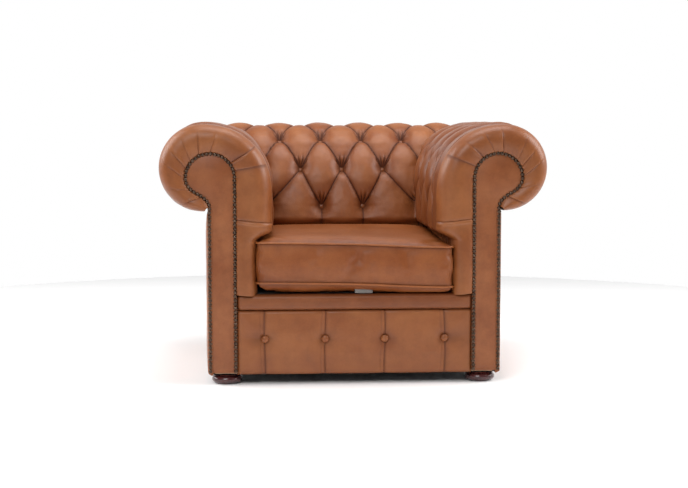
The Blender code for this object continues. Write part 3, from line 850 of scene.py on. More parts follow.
@dataclass
class TuftPattern:
    """Diamond tufting: rows of buttons joined by pleats, straight pleats below and above them."""

    section: Section
    pitch: float = 0.127
    rows_z: tuple[float, float, float] = (0.457, 0.574, 0.667)
    top_angle: float = 82.0
    pleat_depth: float = 0.013
    crown: float = 0.006
    button_depth: float = 0.018
    edge_rise: float = 0.005
    fold: float = 0.0024
    fan: float = 0.0042
    corner_spread: float = 0.27
    roll_share: float = 0.5
    channel_share: float = 0.45
    row_gap: float = 0.11
    line_gap: float = 0.11
    puff_power: float = 0.42
    lip_width: float = 0.07
    crease_width: float = 0.05
    dimple_width: float = 0.020
    fan_reach: float = 0.022
    fan_width: float = 0.013
    fan_angles: tuple[float, float] = (38.0, 54.0)
    seed: float = 1.0

    def __post_init__(self) -> None:
        """Finds where the button rows fall along the section."""
        runs = [self.section.run_at_height(z) for z in self.rows_z]
        runs.append(self.section.run_at_angle(self.top_angle))
        self.row_runs = np.array(runs)

    def row_of(self, run: np.ndarray) -> np.ndarray:
        """Row number, 0 at the lowest buttons and 3 at the crest, running on past both ends.

        Args:
            run: Running length along the section.

        Returns:
            The row number.
        """
        first, last = self.row_runs[0], self.row_runs[-1]
        inside = np.interp(run, self.row_runs, np.arange(4.0))
        below = (run - first) / self.row_gap
        above = 3.0 + (run - last) / self.row_gap
        return np.where(run < first, below, np.where(run > last, above, inside))

    def spread_at(self, row: np.ndarray) -> np.ndarray:
        """Columns for each pitch outside the middle pair of buttons; the lowest row opens out."""
        return 1.0 - self.corner_spread * (1.0 - np.clip(row, 0.0, 1.0))

    def warped(self, column: np.ndarray, row: np.ndarray) -> np.ndarray:
        """Opens the lowest row outwards, so that its last buttons sit in the corners."""
        away = np.abs(column)
        wide = 0.5 + (away - 0.5) * self.spread_at(row)
        return np.sign(column) * np.where(away > 0.5, wide, away)

    @staticmethod
    def row_start(row: int) -> float:
        """Column of a row's first button right of the middle; every second row is staggered."""
        return 0.5 if row % 2 == 0 else 0.0

    def buttons(self, low: float, high: float) -> list[tuple[float, float]]:
        """Plain column and running length of every button between two columns.

        Args:
            low: The lowest column.
            high: The highest column.

        Returns:
            A pair for each button.
        """
        found = []
        for row, run in enumerate(self.row_runs):
            for step in range(-8, 9):
                column = self.row_start(row) + step
                if abs(column) > 0.5:
                    spread = float(self.spread_at(np.array(float(row))))
                    column = math.copysign(0.5 + (abs(column) - 0.5) / spread, column)
                if low <= column <= high:
                    found.append((column, float(run)))
        return found

    def relief(self, plain: np.ndarray, run: np.ndarray) -> Relief:
        """Relief of the tufting.

        Args:
            plain: Position across the pattern in button pitches, before the corners open out.
            run: Running length along the section.

        Returns:
            Heights above the leather line in metres, with the masks.
        """
        row = self.row_of(run)
        column = self.warped(plain, row)
        held = np.clip(row, 0.0, 3.0)
        line_a = column - 0.5 + held / 2
        line_b = -column + 0.5 + held / 2
        a, b = line_a % 1.0, line_b % 1.0
        full_a, full_b = hump(a) ** self.puff_power, hump(b) ** self.puff_power
        rise = (1 - full_a) * hump(b) + (1 - full_b) * hump(a)
        inside = (row >= 0.0) & (row <= 3.0)
        height = -self.pleat_depth + (self.pleat_depth + self.crown) * full_a * full_b
        height = height + self.edge_rise * np.clip(rise, 0.0, 1.0) * inside
        near_a, near_b = np.minimum(a, 1 - a), np.minimum(b, 1 - b)
        lip = sum(np.where(share < 0.5, 1.0, -1.0) * bell(near, self.lip_width, 1.0)
                  for share, near in ((a, near_a), (b, near_b)))
        height = height + self.fold * lip * np.where(inside, 1.0, 0.5)
        # Painted shade: the hide is darkened along the pleats, round each button and in the fan valleys.
        crease_shade = 0.55 * bell(np.minimum(near_a, near_b), self.crease_width, 1.2)
        across = np.full_like(column, 9.0)
        along = np.full_like(column, 9.0)
        for number, button_run in enumerate(self.row_runs):
            sideways = fraction_from_line(column - self.row_start(number)) * self.pitch / self.spread_at(row)
            closer = np.hypot(sideways, run - button_run) < np.hypot(across, along)
            across = np.where(closer, sideways, across)
            along = np.where(closer, run - button_run, along)
        drop = np.hypot(across, along)
        height = height - self.button_depth * bell(drop, self.dimple_width, 1.5)
        turn = np.degrees(np.arctan2(across, along))
        fan = bell(drop - self.fan_reach, self.fan_width)
        fan = fan * (1 - smoothstep(*self.fan_angles, np.abs(turn)))
        ripple = np.cos(np.radians(turn) * FAN_FOLDS)
        height = height + self.fan * fan * ripple
        crease_shade = np.maximum(crease_shade, 0.95 * bell(drop, 0.016))
        crease_shade = np.maximum(crease_shade, 0.50 * fan * np.clip(-ripple, 0.0, 1.0))
        low = 1.0 - smoothstep(-0.5, 0.0, row)
        high = smoothstep(3.0, 3.5, row)
        share = 1.0 - low * (1.0 - self.channel_share) - high * (1.0 - self.roll_share)
        lined = (1.0 - 0.55 * high) * np.clip(0.3 + drop / 0.02, 0.0, 1.0)
        return Relief(height * share, crease_shade * (1.0 - 0.4 * high), line_a, line_b,
                      np.full_like(column, self.line_gap), lined, across, along)


class Part(Enum):
    """The three tufted covers."""

    ARM_LEFT = "arm_cover_left"
    ARM_RIGHT = "arm_cover_right"
    BACK = "back_cover"


@dataclass
class TuftedCovers:
    """Tufted leather of both arms and the back, with their buttons."""

    section: Section
    front: float
    plain_from: float = -0.300
    plain_to: float = -0.322
    thickness: float = 0.0022
    button_radius: float = 0.0098
    button_stand: float = 0.0035
    seam_depth: float = 0.005
    slack: float = 0.0016
    grain: float = 0.0007
    back_columns: int = 236
    arm_columns: int = 190
    rows: int = 205

    def __post_init__(self) -> None:
        """Sets up the patterns and the corner where their columns meet."""
        self.back_pattern = TuftPattern(self.section)
        self.arm_pattern = TuftPattern(self.section)
        inner = self.section.at(np.array([self.arm_pattern.row_runs[0]]))
        self.corner_x = float(inner[0][0])
        self.corner_y = float(self.section.depth(inner[0], inner[1])[0])
        self.corner_lean = self.corner_x + self.section.back_shift - self.corner_y

    def rear_slope(self, run: np.ndarray) -> tuple[np.ndarray, np.ndarray]:
        """Outward normal of the back's leaning section: its depth and height parts.

        Args:
            run: Running length along the section.

        Returns:
            The two parts.
        """
        section = self.section
        lean = np.gradient(section.depth(section.line[:, 0], section.line[:, 1]), section.run)
        climb = np.gradient(section.line[:, 1], section.run)
        size = np.hypot(lean, climb)
        return np.interp(run, section.run, -climb / size), np.interp(run, section.run, lean / size)

    def arm_surface(self, share: np.ndarray, run: np.ndarray) -> tuple[np.ndarray, np.ndarray, np.ndarray]:
        """Plain arm surface from the front (share 0) to the rear corner (share 1).

        Args:
            share: Share of the way along the arm.
            run: Running length along the section.

        Returns:
            Points, outward normals and tufting columns of the right-hand arm.
        """
        x, z, nx, nz = self.section.at(run)
        back_y, back_z = self.rear_slope(run)
        depth = self.section.depth(x, z)
        radius = self.section.corner_radius(x)
        straight = depth - radius - self.front
        bend = math.pi / 4 * radius
        travelled = share * (straight + bend)
        angle = np.clip((travelled - straight) / bend, 0.0, 1.0) * math.pi / 4
        y = self.front + np.minimum(travelled, straight) + radius * np.sin(angle)
        near = smoothstep(0.5, 1.0, share) / 2
        level = nx * (1.0 - near) + back_y * near
        rise = nz * (1.0 - near) + back_z * near
        points = np.stack([x - radius + radius * np.cos(angle), y, z], axis=1)
        normals = np.stack([level * np.cos(angle), level * np.sin(angle), rise], axis=1)
        lean = x + self.section.back_shift - depth
        held = smoothstep(0.35, 1.0, share)
        along = self.corner_x - self.corner_y + y + (lean - self.corner_lean) * held
        return points, normals, along / self.arm_pattern.pitch

    def back_surface(self, share: np.ndarray, run: np.ndarray) -> tuple[np.ndarray, np.ndarray, np.ndarray]:
        """Plain back surface from the left corner (share 0) to the right corner (share 1).

        Args:
            share: Share of the way across the back.
            run: Running length along the section.

        Returns:
            Points, outward normals and tufting columns.
        """
        x, z, nx, nz = self.section.at(run)
        back_y, back_z = self.rear_slope(run)
        depth = self.section.depth(x, z)
        radius = self.section.corner_radius(x)
        straight = x - radius
        bend = math.pi / 4 * radius
        signed = (share - 0.5) * 2.0
        side = np.sign(signed)
        travelled = np.abs(signed) * (straight + bend)
        angle = math.pi / 2 - np.clip((travelled - straight) / bend, 0.0, 1.0) * math.pi / 4
        across = np.minimum(travelled, straight) + radius * np.cos(angle)
        near = smoothstep(0.5, 1.0, np.abs(signed)) / 2
        level = back_y * (1.0 - near) + nx * near
        rise = back_z * (1.0 - near) + nz * near
        points = np.stack([side * across, depth - radius + radius * np.sin(angle), z], axis=1)
        normals = np.stack([side * level * np.cos(angle), level * np.sin(angle), rise], axis=1)
        return points, normals, points[:, 0] / self.back_pattern.pitch

    def relief_for(self, part: Part, points: np.ndarray, column: np.ndarray, run: np.ndarray) -> Relief:
        """Relief of one cover, with small wrinkles added.

        Args:
            part: Which cover.
            points: Positions on the plain surface.
            column: Tufting columns.
            run: Running length along the section.

        Returns:
            The relief.
        """
        pattern = self.back_pattern if part is Part.BACK else self.arm_pattern
        relief = pattern.relief(column, run)
        if part is not Part.BACK:
            tufted = smoothstep(self.plain_to, self.plain_from, points[:, 1])
            seam = bell(points[:, 1] - (self.plain_to + self.plain_from) / 2, 0.005)
            seam = seam * smoothstep(0.0, 0.05, self.section.run_at_angle(80.0) - run)
            relief.height = relief.height * tufted - self.seam_depth * seam
            # Painted shade along the seam where the arm's tufting ends.
            relief.crease_shade = np.maximum(relief.crease_shade * tufted, 0.7 * seam)
            relief.lined = relief.lined * tufted
        probe = np.abs(points) * (1.0, 0.0, 0.0) + points * (0.0, 1.0, 1.0)
        soft = self.slack * wander(probe, 16.0, pattern.seed)
        soft = soft + self.grain * wander(probe, 55.0, pattern.seed + 3)
        hem = smoothstep(0.0, 0.02, self.section.length - run)
        relief.height = (relief.height + soft) * hem
        return relief

    def build_cover(self, part: Part, look: Wardrobe) -> None:
        """Builds one tufted cover as a bent grid.

        Args:
            part: Which cover.
            look: The chair's materials.
        """
        found: list[Relief] = []
        is_back = part is Part.BACK
        mirror = -1.0 if part is Part.ARM_LEFT else 1.0

        def place(u: np.ndarray, v: np.ndarray) -> np.ndarray:
            """The tufted surface over the grid."""
            run = self.uneven(v) * self.section.length
            surface = self.back_surface if is_back else self.arm_surface
            points, normals, column = surface(u, run)
            relief = self.relief_for(part, points, column, run)
            found.append(relief)
            moved = points + normals * relief.height[:, None]
            moved[:, 0] *= mirror
            return moved

        name = f"{part.value}_leather"
        columns = self.back_columns if is_back else self.arm_columns
        mesh = sheet(name, columns, self.rows, place, flip=part is Part.ARM_LEFT)
        found[-1].store(mesh)
        # Paler on the raised crowns: rubbing wear and a painted highlight.
        store_mask(mesh, "rub_and_highlight", np.clip(found[-1].height / 0.007, 0.0, 1.0) * 0.8)
        # The arm covers take the darker copy of the tan as painted shade; the back takes the plain tan.
        made = finish_object(name, mesh, look.leather_back if is_back else look.leather)
        thicken(made, self.thickness)
        install(made, "root", "tan_leather", part.value, part.value.replace("cover", "pad"), fill=0.8)

    @staticmethod
    def uneven(v: np.ndarray) -> np.ndarray:
        """Spends more rows on the tufted inner side than underneath the roll."""
        return v * (0.74 + 0.26 * v)

    def build_buttons(self, look: Wardrobe) -> None:
        """Sets a covered button at each junction of pleats.

        Args:
            look: The chair's materials.
        """
        for part in Part:
            is_back = part is Part.BACK
            pattern = self.back_pattern if is_back else self.arm_pattern
            surface = self.back_surface if is_back else self.arm_surface
            mirror = -1.0 if part is Part.ARM_LEFT else 1.0
            number = 0
            low, high = (-2.2, 2.2) if is_back else (-1.6, 2.2)
            for column, run in pattern.buttons(low, high):
                spot = self.locate(surface, column, run)
                if spot is None:
                    continue
                point, normal = spot
                if not is_back and point[1] < self.plain_from + 0.02:
                    continue
                number += 1
                sunk = self.button_stand - (pattern.pleat_depth + pattern.button_depth)
                centre = point + normal * sunk
                centre[0] *= mirror
                normal = np.array([normal[0] * mirror, normal[1], normal[2]])
                name = f"{part.value.replace('cover', 'button')}_{number}"
                mesh = covered_button(name, self.button_radius, Vector(centre), Vector(normal))
                install(finish_object(name, mesh, look.leather_trim), "root", "button_leather")

    def locate(self, surface: Callable, column: float, run: float) -> tuple[np.ndarray, np.ndarray] | None:
        """Finds where a column falls along a cover, or nothing if it lies past the corner.

        Args:
            surface: The cover's plain surface.
            column: The tufting column.
            run: Running length along the section.

        Returns:
            The point and its outward normal, or nothing.
        """
        shares = np.linspace(0.004, 0.996, 400)
        points, normals, columns = surface(shares, np.full_like(shares, run))
        if column < columns.min() or column > columns.max():
            return None
        best = int(np.argmin(np.abs(columns - column)))
        edge = min(best, len(shares) - 1 - best)
        if edge < 6:
            return None
        return points[best].copy(), normals[best] / np.linalg.norm(normals[best])


def covered_button(name: str, radius: float, centre: Vector, normal: Vector) -> bpy.types.Mesh:
    """A domed, leather-covered button that faces along a normal.

    Args:
        name: The piece's name.
        radius: Its radius.
        centre: Its dome's middle.
        normal: The way it faces.

    Returns:
        The mesh.
    """
    shares = ((0.0, 0.46), (0.42, 0.42), (0.76, 0.27), (0.96, 0.06), (1.0, -0.12), (0.9, -0.3), (0.0, -0.34))
    turn = normal.to_track_quat("Z", "Y").to_matrix().to_4x4()
    return turned(name, [(radius * across, radius * up) for across, up in shares],
                  Matrix.Translation(centre) @ turn, 20)


# ---- Facings, borders and nails ----
@dataclass
class Facings:
    """Scroll facings, the pleated borders round them and their nails."""

    section: Section
    board_inner: float
    board_outer: float
    foot: float
    front: float
    back: float
    nose: float
    border_back: float
    scroll_z: float = 0.560
    scroll_radius: float = 0.0655
    scroll_end: float = -56.0
    squash: float = 0.75
    margin: float = LEATHER_EDGE
    nail_radius: float = 0.0053
    nail_pitch: float = 0.0107
    nail_dome: float = 0.66
    nail_sink: float = 0.0012
    nail_wobble: float = 0.0003
    board_set: float = 0.0022
    pillow: tuple[tuple[float, float], ...] = ((0.0028, -0.0008), (0.0024, 0.0012), (0.0050, -0.0020))
    nail_foot: float = 0.010
    neck_lift: float = 0.0015
    seam_rise: float = 0.041
    gather_rise: float = 0.095
    hem_tuck: float = 0.0055
    pleat_sink: float = 0.0036
    seam_sink: float = 0.0030
    gather_sink: float = 0.0008
    slack: float = 0.0014
    border_columns: int = 52
    border_rows: int = 560
    leather: float = 0.0020
    border_pull: tuple[float, ...] = (0.9, 0.45, 0.7, 1.0, 0.5, 0.85, 0.6, 1.0, 0.55, 0.8, 0.6)

    def nail_line(self, count: int = 60) -> np.ndarray:
        """The nail line from the foot of the inner upright to the foot of the outer one.

        Args:
            count: Points round the scroll.

        Returns:
            Its points, x and z.
        """
        centre_x = self.board_inner + self.scroll_radius
        points = [(self.board_inner, z) for z in np.linspace(self.foot, self.scroll_z, 30)[:-1]]
        scroll = arc(centre_x, self.scroll_z, self.scroll_radius, 180.0, self.scroll_end, count)
        points += [(x, max(z, self.scroll_z + (z - self.scroll_z) * self.squash)) for x, z in scroll]
        start = Vector(points[-1])
        angle = math.radians(self.scroll_end)
        heading = Vector((math.sin(angle), -math.cos(angle) * self.squash))
        bend = start + heading * ((self.board_outer - start.x) / heading.x)
        foot = Vector((self.board_outer, self.section.underside + self.nail_foot))
        for t in np.linspace(0.0, 1.0, 13)[1:]:
            point = start * (1 - t) ** 2 + bend * (2 * t * (1 - t)) + foot * t ** 2
            points.append((point.x, point.y))
        points += [(self.board_outer, z) for z in np.linspace(foot.y, self.foot, 26)[1:]]
        return np.array(points)

    @staticmethod
    def spaced(line: np.ndarray, pitch: float) -> np.ndarray:
        """Points at an even pitch along a line.

        Args:
            line: The line.
            pitch: The wanted distance.

        Returns:
            The points.
        """
        run = run_along(line)
        count = int(run[-1] / pitch)
        where = (np.arange(count) + 0.5) * run[-1] / count
        return np.stack([np.interp(where, run, line[:, i]) for i in range(2)], axis=1)

    @staticmethod
    def offset(line: np.ndarray, distance: float) -> np.ndarray:
        """The line moved outwards, to the left of its travel."""
        return line + left_of(np.gradient(line, axis=0)) * distance

    def build_facing(self, side: Side, look: Wardrobe) -> None:
        """A leather-covered board, softly padded between its nails.

        Args:
            side: Which arm it is on.
            look: The chair's materials.
        """
        outline = self.offset(self.nail_line(), self.margin)
        bm = bmesh.new()
        corners = [bm.verts.new((side.value * x, self.back, z)) for x, z in outline]
        face = bm.faces.new(corners)
        grown = bmesh.ops.extrude_face_region(bm, geom=[face])
        front_face = [item for item in grown["geom"] if isinstance(item, bmesh.types.BMFace)]
        moved = [item for item in grown["geom"] if isinstance(item, bmesh.types.BMVert)]
        bmesh.ops.translate(bm, vec=(0.0, self.front + self.board_set - self.back, 0.0), verts=moved)
        for width, lift in self.pillow:
            bmesh.ops.inset_region(bm, faces=front_face, thickness=width, use_even_offset=True)
            ring = {vert for item in front_face for vert in item.verts}
            bmesh.ops.translate(bm, vec=(0.0, lift, 0.0), verts=list(ring))
        bmesh.ops.triangulate(bm, faces=[f for f in bm.faces if len(f.verts) > 4])
        name = f"arm_facing_{side.word}_leather"
        made = finish_object(name, mesh_of(bm, name), look.leather_facing)
        made.data.set_sharp_from_angle(angle=SHARP_EDGE)
        install(made, "root", "tan_leather", f"arm_facing_{side.word}")

    def build_nails(self, side: Side, look: Wardrobe) -> None:
        """Domed nails side by side along the nail line.

        Args:
            side: Which arm it is on.
            look: The chair's materials.
        """
        bm = bmesh.new()
        for number, (x, z) in enumerate(self.spaced(self.nail_line(), self.nail_pitch)):
            wobble = self.nail_wobble * math.sin(number * 2.4)
            spot = Matrix.Translation((side.value * (x + wobble), self.front - 0.0002, z + wobble))
            size = Matrix.Diagonal((1.0, self.nail_dome, 1.0, 1.0))
            bmesh.ops.create_uvsphere(bm, u_segments=10, v_segments=6, radius=self.nail_radius,
                                      matrix=spot @ size @ Matrix.Rotation(math.radians(90), 4, "X"))
        bmesh.ops.bisect_plane(bm, geom=whole(bm), dist=WELD, plane_co=(0.0, self.front + self.nail_sink, 0.0),
                               plane_no=(0.0, 1.0, 0.0), clear_outer=True)
        bmesh.ops.edgeloop_fill(bm, edges=[edge for edge in bm.edges if edge.is_boundary])
        name = f"upholstery_nails_{side.word}"
        made = finish_object(name, mesh_of(bm, name), look.brass)
        install(made, "root", "antique_brass", f"nail_trim_{side.word}")

    def pleat_angles(self, side: Side) -> tuple[float, ...]:
        """Where the border is pleated, in degrees round the roll: 0 outside, 90 on top, 180 inside."""
        if side is Side.LEFT:
            return (176.0, 160.0, 112.0, 84.0, 57.0, 33.0, 11.0, -27.0, -58.0)
        return (168.0, 147.0, 122.0, 98.0, 57.0, 36.0, 14.0, -22.0, -59.0)

    def build_border(self, side: Side, look: Wardrobe) -> None:
        """The padded border: a bull-nose drawn into pleats towards the nails.

        Args:
            side: Which arm it is on.
            look: The chair's materials.
        """
        section = self.section
        inner_line = self.offset(self.nail_line(), self.margin - 0.0006)
        keep = inner_line[:, 1] >= section.bottom
        turn = int(np.argmax(inner_line[:, 0]))
        outer_foot = section.underside + self.neck_lift
        keep &= (np.arange(len(inner_line)) < turn) | (inner_line[:, 1] > outer_foot)
        inner_line = inner_line[keep]
        upright = inner_line[:, 0] <= inner_line[0, 0] + 1e-6
        foot_run = run_along(inner_line)
        turn_run = float(foot_run[int(np.sum(upright)) - 1])
        shoulder_run = section.run_at_height(self.scroll_z)
        found: list[Relief] = []

        def inner_at(run: np.ndarray) -> tuple[np.ndarray, np.ndarray]:
            """The point on the nail line that faces each running length of the silhouette."""
            straight = np.clip(run / shoulder_run, 0.0, 1.0) * turn_run
            onward = (run - shoulder_run) / (section.length - shoulder_run)
            curved = turn_run + onward * (foot_run[-1] - turn_run)
            where = np.where(run < shoulder_run, straight, curved)
            return (np.interp(where, foot_run, inner_line[:, 0]), np.interp(where, foot_run, inner_line[:, 1]))

        def place(u: np.ndarray, v: np.ndarray) -> np.ndarray:
            """The bull-nose over the grid; u runs from the silhouette over the nose to the nail line."""
            run = v * section.length
            ox, oz, nx, nz = section.at(run)
            ix, iz = inner_at(run)
            angle = u * math.pi
            share = (1.0 - np.cos(angle)) / 2 * 0.86 + 0.14 * u
            back = self.border_back + (self.front + 0.004 - self.border_back) * share
            nose = back + (self.nose - back) * np.sin(angle) ** 0.85
            x = ox + (ix - ox) * share
            z = oz + (iz - oz) * share
            around = np.degrees(np.arctan2(oz - section.roll_z, ox - section.roll_x))
            around = np.where(around < -100.0, around + 360.0, around)
            slant = 4.0 * np.sin(around * 0.11) * (u - 0.5)
            stops = np.array([-140.0, *sorted(self.pleat_angles(side)), 260.0])
            counts = np.array([-0.5, *range(len(stops) - 2), len(stops) - 2.5])
            widths = np.radians(np.gradient(stops)) * section.radius * 0.8
            line_a = np.interp(around + slant, stops, counts)
            spacing = np.interp(around + slant, stops, widths)
            gap = fraction_from_line(line_a) * spacing
            reach_in = smoothstep(0.10 + 0.14 * np.sin(around * 0.23), 0.80, u)
            nearest = np.clip(np.round(line_a), 0, len(self.border_pull) - 1).astype(int)
            reach_in = reach_in * np.array(self.border_pull)[nearest]
            groove = reach_in * (bell(gap, 0.0026, 1.2) - 0.35 * bell(gap - 0.0060, 0.0045))
            seam_z = section.cushion_top + self.seam_rise
            low_inside = ox < section.bulge + 0.05
            line_b = np.where(low_inside, np.clip((oz - seam_z) / spacing, -0.5, 0.5), 0.5)
            seam = (bell(oz - seam_z, 0.0030, 1.2) - 0.7 * bell(oz - seam_z + 0.0065, 0.004)) * low_inside
            gathers = np.sin(np.radians(around) * 29.0) * smoothstep(0.66, 0.94, u) * (around > -80)
            gathers = gathers * (oz > section.cushion_top + self.gather_rise)
            soft = self.slack * wander(np.stack([x * side.value, nose, z], axis=1), 18.0, 9.0 + side.value)
            sink = self.pleat_sink * groove + self.seam_sink * seam + self.gather_sink * gathers
            sink = sink * np.sin(np.clip(angle, 0.0, math.pi)) ** 0.4
            # Painted shade: darker in the pleat grooves, at the seam and in a band along the nail line.
            crease_shade = np.clip(groove, 0.0, 1.0) * 0.45 + np.clip(seam, 0.0, 1.0) * 0.4
            crease_shade = np.clip(crease_shade + 0.8 * smoothstep(0.93, 1.0, u), 0.0, 1.0)
            lined = np.maximum(0.55 * reach_in, 0.6 * low_inside) * smoothstep(0.03, 0.12, u)
            found.append(Relief(-sink, crease_shade, line_a, line_b, spacing, lined))
            y = nose + sink + soft
            inwards = 0.5 * sink * np.cos(angle / 2) ** 2
            x = x - nx * inwards
            z = z - nz * inwards - self.hem_tuck * bell(run, 0.010, 1.0)
            return np.stack([x * side.value, y, z], axis=1)

        name = f"arm_border_{side.word}_leather"
        mesh = sheet(name, self.border_columns, self.border_rows, place, flip=side is Side.RIGHT)
        found[-1].store(mesh)
        # Paler over the bull-nose and less so in the sunken pleats: rubbing wear with painted highlight, and
        # painted shade in the grooves.
        store_mask(mesh, "rub_and_highlight", np.clip(0.35 + found[-1].height * 300.0, 0.0, 0.6))
        made = finish_object(name, mesh, look.leather_border)
        thicken(made, self.leather)
        install(made, "root", "tan_leather", f"arm_front_border_{side.word}", fill=0.85)


# ---- Outside panels, band and apron ----
@dataclass
class PaddedPanel:
    """A flat leather panel whose front swells a little and wraps round its edges."""

    name: str
    node: str
    low: Point
    high: Point
    facing: str
    swell: float = 0.0015
    edge: float = 0.008
    columns: int = 90
    rows: int = 60
    seed: float = 0.0
    pleats: tuple[float, ...] = ()
    button_z: float = 0.0
    pleat_sink: float = 0.0034
    flap_sink: float = 0.0014
    button_sink: float = 0.0055
    wing_sink: float = 0.0008
    valley_sink: float = 0.0030
    flap_width: float = 0.0105
    flap_nip: float = 0.0060
    slack: float = 0.0010
    grain: float = 0.0005
    fill: float | None = None
    band: bool = False

    @classmethod
    def over(cls, node: str, facing: str, **sizes: object) -> "PaddedPanel":
        """A panel over one CAD node.

        Args:
            node: The CAD node.
            facing: The side its face looks to.
            **sizes: Any of the panel's other fields.

        Returns:
            The panel, ready to build.
        """
        low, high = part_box(node)
        return cls(f"{node}_leather", node, tuple(low), tuple(high), facing, **sizes)

    def build(self, look: Wardrobe) -> None:
        """Bends a grid over the panel's face and its four edges.

        Args:
            look: The chair's materials.
        """
        low, high = np.array(self.low), np.array(self.high)
        found: list[Relief] = []
        normal_axis = "XY".index(self.facing[1])
        outward = -1.0 if self.facing[0] == "-" else 1.0
        across_axis = 1 - normal_axis

        def place(u: np.ndarray, v: np.ndarray) -> np.ndarray:
            """The swelled face over the grid, wrapped round the edges."""
            width = high[across_axis] - low[across_axis]
            tall = high[2] - low[2]
            thick = high[normal_axis] - low[normal_axis]
            a, turn_a = self.wrap(u, width, thick)
            b, turn_b = self.wrap(v, tall, thick)
            back_off = np.maximum(turn_a, turn_b)
            across, up = low[across_axis] + a, low[2] + b
            edge_u = np.minimum(a, width - a)
            edge_v = np.minimum(b, tall - b)
            inside = [np.maximum(self.edge - edge, 0) ** 2 for edge in (edge_u, edge_v)]
            round_off = self.edge - np.sqrt(np.maximum(self.edge ** 2 - inside[0] - inside[1], 0.0))
            flat = np.clip(np.minimum(edge_u, edge_v) / 0.06, 0.0, 1.0)
            probe = np.stack([across, np.full_like(across, self.seed), up], axis=1)
            soft = self.slack * wander(probe, 9.0, self.seed)
            soft = soft + self.grain * wander(probe, 42.0, self.seed + 1)
            lift = self.swell * flat ** 0.6 + soft * flat
            relief = self.pleating(across, up)
            lift = lift + relief.height
            # Painted shade: the hide darkens over the last 6 mm as it wraps round the edge.
            edge_shade = 0.25 * (1 - np.clip(np.minimum(edge_u, edge_v) / 0.006, 0, 1))
            relief.crease_shade = np.clip(relief.crease_shade + edge_shade, 0.0, 1.0)
            found.append(relief)
            out = (high if outward > 0 else low)[normal_axis]
            level = out + outward * (lift - round_off - self.swell - 0.0006 - back_off)
            return np.stack([across, level, up] if across_axis == 0 else [level, across, up], axis=1)

        flip = self.facing in ("+Y", "-X")
        mesh = sheet(self.name, self.columns, self.rows, place, flip=flip)
        found[-1].store(mesh)
        # Paler away from the painted shade of the creases and edges: rubbing wear and painted highlight.
        store_mask(mesh, "rub_and_highlight", 0.35 * (1.0 - found[-1].crease_shade))
        # The seat band takes the darker copy of the tan: painted shade under the cushion.
        made = finish_object(self.name, mesh, look.leather_band if self.band else look.leather_panel)
        thicken(made, 0.0012)
        install(made, "root", "tan_leather", self.node, fill=self.fill)

    def pleating(self, across: np.ndarray, up: np.ndarray) -> Relief:
        """Upright double pleats, each drawn in by its button.

        Args:
            across: Position across the panel.
            up: Height.

        Returns:
            The relief.
        """
        if not self.pleats:
            plain = np.zeros_like(across)
            return Relief(plain, plain.copy(), plain, plain, plain, plain)
        stops = np.array([self.pleats[0] - 0.2, *self.pleats, self.pleats[-1] + 0.2])
        counts = np.array([-0.5, *range(len(self.pleats)), len(self.pleats) - 0.5])
        sway = 0.0016 * np.sin(up * 26.0 + across * 9.0)
        second = self.flap_width - self.flap_nip * bell(up - self.button_z, 0.014)
        line_a = np.interp(across + sway, stops, counts)
        line_b = np.interp(across + sway + second, stops, counts)
        spacing = self.pleats[1] - self.pleats[0]
        gap = fraction_from_line(line_a) * spacing
        main = bell(gap, 0.0030, 1.3)
        flap = bell(fraction_from_line(line_b) * spacing, 0.0026, 1.3)
        rise = up - self.button_z
        pull = bell(np.hypot(gap, rise), 0.018, 1.6)
        wings = bell(rise, 0.007) * bell(gap, 0.030, 1.0)
        wings = wings + 0.6 * bell(rise - 0.35 * np.abs(gap), 0.005) * bell(gap, 0.022, 1.0)
        height = -self.pleat_sink * main - self.flap_sink * flap - self.button_sink * pull
        height = height - self.wing_sink * wings - self.valley_sink * bell(gap, 0.020)
        # Painted shade along the pleats and round each button.
        crease_shade = np.maximum(np.maximum(0.45 * main, 0.25 * flap), 0.6 * pull)
        full = np.ones_like(across)
        return Relief(height, crease_shade, line_a, full * 0.5, full * spacing, full * 0.55)

    @staticmethod
    def wrap(share: np.ndarray, length: float, thick: float) -> tuple[np.ndarray, np.ndarray]:
        """Splits a share of the wrapped width into a place on the face and a depth round the edge."""
        margin = thick * 0.92
        travelled = share * (length + 2 * margin) - margin
        over = np.maximum(np.maximum(-travelled, travelled - length), 0.0)
        return np.clip(travelled, 0.0, length), over


def build_panels(look: Wardrobe) -> None:
    """The outside panels, the platform band, and the apron with its buttons.

    Args:
        look: The chair's materials.
    """
    for side in Side:
        PaddedPanel.over(f"arm_outside_panel_{side.word}", "+X" if side is Side.RIGHT else "-X", swell=0.0065,
                         edge=0.006, columns=150, rows=90, seed=3.0 * side.value).build(look)
    PaddedPanel.over("back_outside_panel", "+Y", swell=0.002, edge=0.006, columns=160, rows=90,
                     seed=7.0).build(look)
    PaddedPanel.over("seat_front_band", "-Y", swell=0.003, edge=0.012, columns=220, rows=40, seed=11.0,
                     fill=0.7, band=True).build(look)
    buttons = sorted(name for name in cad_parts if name.startswith("apron_button"))
    centres = [(Vector(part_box(name)[0]) + Vector(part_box(name)[1])) / 2 for name in buttons]
    apron = PaddedPanel.over("front_apron", "-Y", swell=0.004, edge=0.009, columns=420, rows=110, seed=13.0,
                             pleats=tuple(c.x for c in centres), button_z=centres[0].z, fill=0.7)
    apron.build(look)
    for name, centre in zip(buttons, centres):
        spot = Vector((centre.x, apron.low[1] + APRON_BUTTON_SINK, centre.z))
        mesh = covered_button(f"{name}_leather", 0.0100, spot, Vector((0, -1, 0)))
        install(finish_object(f"{name}_leather", mesh, look.leather_trim), "root", "button_leather", name)


